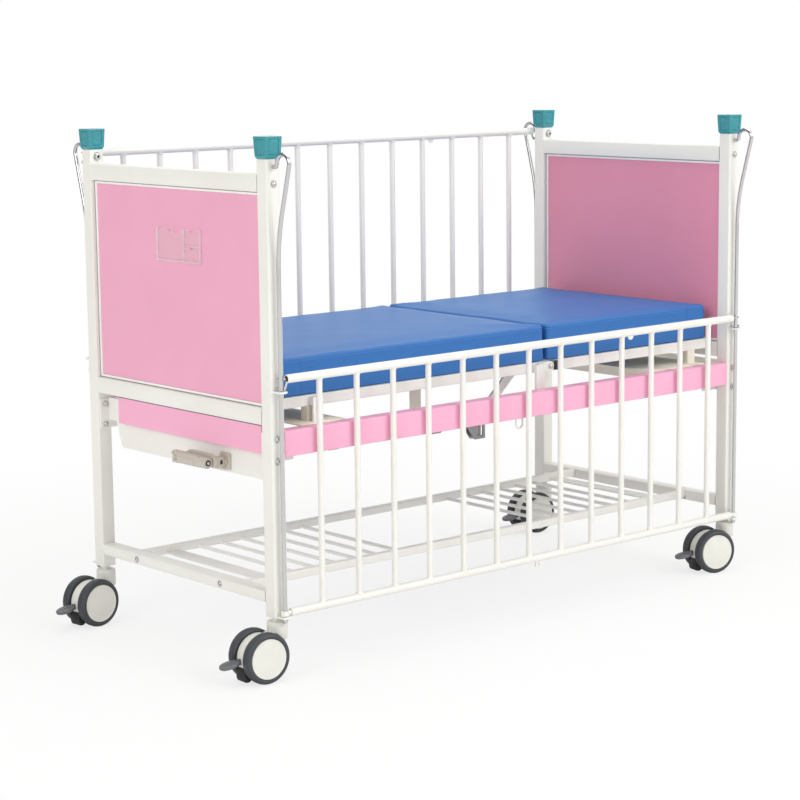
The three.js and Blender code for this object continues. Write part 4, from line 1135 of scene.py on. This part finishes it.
def inflate(obj):
    """Lets the cover swell under pressure and keeps a limited part of the movement."""
    mesh = obj.data
    rest = np.array([v.co for v in mesh.vertices])
    floor = rest[:, 2].min()
    group = obj.vertex_groups.new(name="held")
    group.add([i for i, p in enumerate(rest) if p[2] < floor + HELD * MM], 1.0, "REPLACE")
    cloth = obj.modifiers.new("Cloth", "CLOTH")
    put(cloth.settings, **CLOTH)
    cloth.settings.effector_weights.gravity = 0.0
    cloth.collision_settings.use_collision = False
    scene = bpy.context.scene
    for step in range(1, FRAMES + 1):
        scene.frame_set(step)
    graph = bpy.context.evaluated_depsgraph_get()
    swollen = obj.evaluated_get(graph).to_mesh()
    shape = np.array([v.co for v in swollen.vertices])
    obj.evaluated_get(graph).to_mesh_clear()
    obj.modifiers.remove(cloth)
    scene.frame_set(1)
    move = shape - rest
    size = np.linalg.norm(move, axis=1, keepdims=True)
    cap = SWELL * MM
    move = move * cap / (cap + size)
    mesh.vertices.foreach_set("co", (rest + move).ravel())
    mesh.update()


def bell(distance, width):
    return math.exp(-((distance / width) ** 2))


def seam_shape(obj, low, high, joint_x):
    """Draws in the sewn seam below the top edge and an upright joint in the side band, with puckers."""
    mesh = obj.data
    seam = high.z - SEAM_DROP
    normals = [v.normal.copy() for v in mesh.vertices]
    for vertex, normal in zip(mesh.vertices, normals):
        p = vertex.co / MM - OFFSET
        aside = math.hypot(normal.x, normal.y)
        push = 0.0
        drop = p.z - seam
        if aside > 0.5:
            around = p.x * abs(normal.y) + p.y * abs(normal.x)
            lips = bell(drop - 3.0, 1.8) + 0.7 * bell(drop + 3.0, 1.8)
            pucker = noise.noise(Vector((around / 16.0, 0.3, high.x / 50)))
            push += 0.4 * lips - bell(drop, 1.1) + 0.5 * pucker * bell(drop, 9.0)
            push += 0.7 * noise.noise(Vector((p.x / 120, p.y / 120, p.z / 60)))
            if abs(normal.y) > 0.7 and drop < 0:
                gap = p.x - joint_x
                push += 0.5 * bell(abs(gap) - 8, 4.5) - 1.8 * bell(gap, 3.0)
        elif normal.z > 0.3:
            inside = min(p.x - low.x, high.x - p.x, p.y - low.y, high.y - p.y)
            fold = noise.noise(Vector((p.x / 55, p.y / 55, 1.7)))
            push += 0.9 * fold * bell(inside, 60.0)
            push += 0.8 * noise.noise(Vector((p.x / 160, p.y / 160, 4.2)))
        vertex.co += normal * push * MM
    mesh.update()


def build_cushion(node, body, joint_x):
    low, high = span(node)
    start_low = low + FOAM_INSET
    start_high = high - FOAM_INSET - FOAM_DROP
    piece = Piece().add(foam_form(start_low, start_high))
    obj = piece.make(f"{node}_cover", body, "blue_vinyl", [VINYL], [node], 180)
    inflate(obj)
    put(obj.modifiers.new("Fine", "SUBSURF"), levels=1, render_levels=1)
    bpy.context.view_layer.objects.active = obj
    bpy.ops.object.modifier_apply(modifier="Fine")
    seam_shape(obj, low, start_high, joint_x)


build_cushion("mattress_foot", "frame", -JOINT_X)
build_cushion("mattress_head", "head_cushion", JOINT_X)


# Fasteners and small fittings

def build_fasteners():
    heads = Piece()
    for sx in ENDS.values():
        for sy in SIDES.values():
            x = sx * POST_X
            for z in BRACKET_BOLTS:
                heads.add(bolt_head((x + sx * 3, sy * Y_OUT, z), (0, sy, 0), 6.2))
                heads.add(bolt_head((x + sx, sy * (Y_IN - 5.3), z), (0, -sy, 0), 5.6))
            heads.add(bolt_head((x, sy * Y_OUT, CAP_BOLT), (0, sy, 0), 5.6))
            nuts = nut((x, sy * Y_IN, HOOK_Z), (0, -sy, 0), 7.0, 4.5, 0.5)
            nuts += nut((x, sy * ROD_Y, POST_BOTTOM), (0, 0, -1), 6.0, 5.5, 2.0)
            for shape in nuts:
                heads.add(shape)
            y, z = SHELF_BOLT
            heads.add(bolt_head((sx * (X_OUT - 2 * HALF), sy * y, z), (-sx, 0, 0), 4.6))
        for y, z in LOWER_BOLTS:
            heads.add(bolt_head((sx * X_OUT, y, z), (sx, 0, 0), 5.6))
    for sy in SIDES.values():
        heads.add(bolt_head((HINGE.x - 42, sy * (Y_IN - 6.2), DECK_BOLT), (0, -sy, 0), 4.6))
        heads.add(bolt_head((HINGE.x, sy * CHEEK_OUT, HINGE.z), (0, sy, 0), 5.4))
    heads.make("frame_bolts", "frame", "bare_steel", [STEEL])
    spacers = Piece()
    for sy in SIDES.values():
        low = (HINGE.x + 18, sy * (DECK_HALF + 0.2), HINGE.z - 12)
        spacers.add(block(low, (HINGE.x + 32, sy * CHEEK_OUT, HINGE.z + 12), 1.6))
    spacers.make("hinge_spacers", "backrest", "grey_plastic", [BLACK])


build_fasteners()


# Stage

FLOOR_HALF = 40.0
FLOOR_TONE = (0.94, 0.94, 0.94, 1.0)
FLOOR_FADE = (0.9, 2.6)
FLOOR_WHITE = 0.74
SOFT_TONE = (1.0, 0.982, 0.947, 1.0)
SOFT_POWER = 0.59
FLAG_SIDE = (-0.934, 0.358, 0.0)
FLAG_EDGE = (0.5, 0.85)
FLAG_LEVEL = 0.08
CAMERA_TURN = (49.1311, -9.2127, -0.6303)
CAMERA_AT = (-3841.0, -4333.8, 1458.4)
CAMERA_LENS = 100.95


def faded(tree, value, edges, low, high):
    """A smooth step from low to high between two edges."""
    inputs = {"Value": value, "From Min": edges[0], "From Max": edges[1], "To Min": low, "To Max": high}
    return wired(tree, "ShaderNodeMapRange", inputs, interpolation_type="SMOOTHSTEP").outputs["Result"]


def combined(tree, operation, a, b):
    return wired(tree, "ShaderNodeMath", {0: a, 1: b}, operation=operation).outputs["Value"]


def build_floor():
    """A pale floor that fades to white for the camera away from the cot."""
    mesh = bpy.data.meshes.new("floor")
    signs = ((-1, -1), (1, -1), (1, 1), (-1, 1))
    mesh.from_pydata([(FLOOR_HALF * u, FLOOR_HALF * v, 0) for u, v in signs], [], [(0, 1, 2, 3)])
    floor = linked("floor", mesh)
    material = bpy.data.materials.new("pale floor")
    material.use_nodes = True
    tree = material.node_tree
    shader = tree.nodes["Principled BSDF"]
    shader.inputs["Base Color"].default_value = FLOOR_TONE
    shader.inputs["Roughness"].default_value = 0.9
    shader.inputs["Specular IOR Level"].default_value = 0.1
    place = wired(tree, "ShaderNodeTexCoord").outputs["Object"]
    away = wired(tree, "ShaderNodeVectorMath", {0: place}, operation="LENGTH").outputs["Value"]
    seen = wired(tree, "ShaderNodeLightPath").outputs["Is Camera Ray"]
    share = combined(tree, "MULTIPLY", faded(tree, away, FLOOR_FADE, FLOOR_WHITE, 1.0), seen)
    white = wired(tree, "ShaderNodeEmission").outputs["Emission"]
    mix = wired(tree, "ShaderNodeMixShader", {"Fac": share, 1: shader.outputs["BSDF"], 2: white})
    tree.links.new(mix.outputs["Shader"], tree.nodes["Material Output"].inputs["Surface"])
    mesh.materials.append(material)


def build_world():
    """Soft light all round; the camera sees white, and reflections see white with a dark flag."""
    world = bpy.data.worlds.new("studio")
    bpy.context.scene.world = world
    world.use_nodes = True
    tree = world.node_tree
    soft = tree.nodes["Background"]
    soft.inputs["Color"].default_value = SOFT_TONE
    soft.inputs["Strength"].default_value = SOFT_POWER
    rays = wired(tree, "ShaderNodeLightPath").outputs
    place = wired(tree, "ShaderNodeTexCoord").outputs["Generated"]
    flag = wired(tree, "ShaderNodeVectorMath", {0: place, 1: FLAG_SIDE}, operation="DOT_PRODUCT")
    shade = faded(tree, flag.outputs["Value"], FLAG_EDGE, 1.0, FLAG_LEVEL)
    level = combined(tree, "MAXIMUM", shade, rays["Is Camera Ray"])
    bright = wired(tree, "ShaderNodeBackground", {"Color": (1.0, 1.0, 1.0, 1.0), "Strength": level})
    direct = combined(tree, "MAXIMUM", rays["Is Camera Ray"], rays["Is Glossy Ray"])
    share = combined(tree, "MAXIMUM", direct, rays["Is Transmission Ray"])
    layers = {"Fac": share, 1: soft.outputs["Background"], 2: bright.outputs["Background"]}
    mix = wired(tree, "ShaderNodeMixShader", layers)
    tree.links.new(mix.outputs["Shader"], tree.nodes["World Output"].inputs["Surface"])


def area_light(name, at, target, size, power):
    light = bpy.data.lights.new(name, "AREA")
    put(light, shape="RECTANGLE", size=size[0], size_y=size[1], energy=power)
    turn = (Vector(target) - Vector(at)).to_track_quat("-Z", "Y")
    put(linked(name, light), location=at, rotation_mode="QUATERNION", rotation_quaternion=turn)


def build_camera():
    """Camera at the photo's angle, from a fit of the posts, rails and gate bars."""
    yaw, pitch, roll = (math.radians(a) for a in CAMERA_TURN)
    forward = Vector((math.cos(yaw) * math.cos(pitch), math.sin(yaw) * math.cos(pitch), math.sin(pitch)))
    right = Vector((math.sin(yaw), -math.cos(yaw), 0))
    up = right.cross(forward)
    x = right * math.cos(roll) + up * math.sin(roll)
    y = up * math.cos(roll) - right * math.sin(roll)
    data = bpy.data.cameras.new("camera")
    put(data, sensor_width=36.0, lens=CAMERA_LENS, clip_start=0.05, clip_end=100.0)
    camera = linked("camera", data)
    turn = Matrix((x, y, -forward)).transposed().to_4x4()
    at = Vector((CAMERA_AT[0] + SHIFT, *CAMERA_AT[1:]))
    camera.matrix_world = Matrix.Translation(at * MM) @ turn
    bpy.context.scene.camera = camera


build_floor()
build_world()
middle = (CAD_LOW + CAD_HIGH) / 2
area_light("key", (3.2, -9.0, 6.6), middle, (6.0, 4.8), 500)
area_light("fill", (-9.4, -2.4, 4.4), middle, (5.2, 4.8), 272)
area_light("top", (0.2, 0.3, 4.4), middle, (4.0, 3.0), 44)
build_camera()
bpy.context.scene.view_settings.view_transform = "Standard"
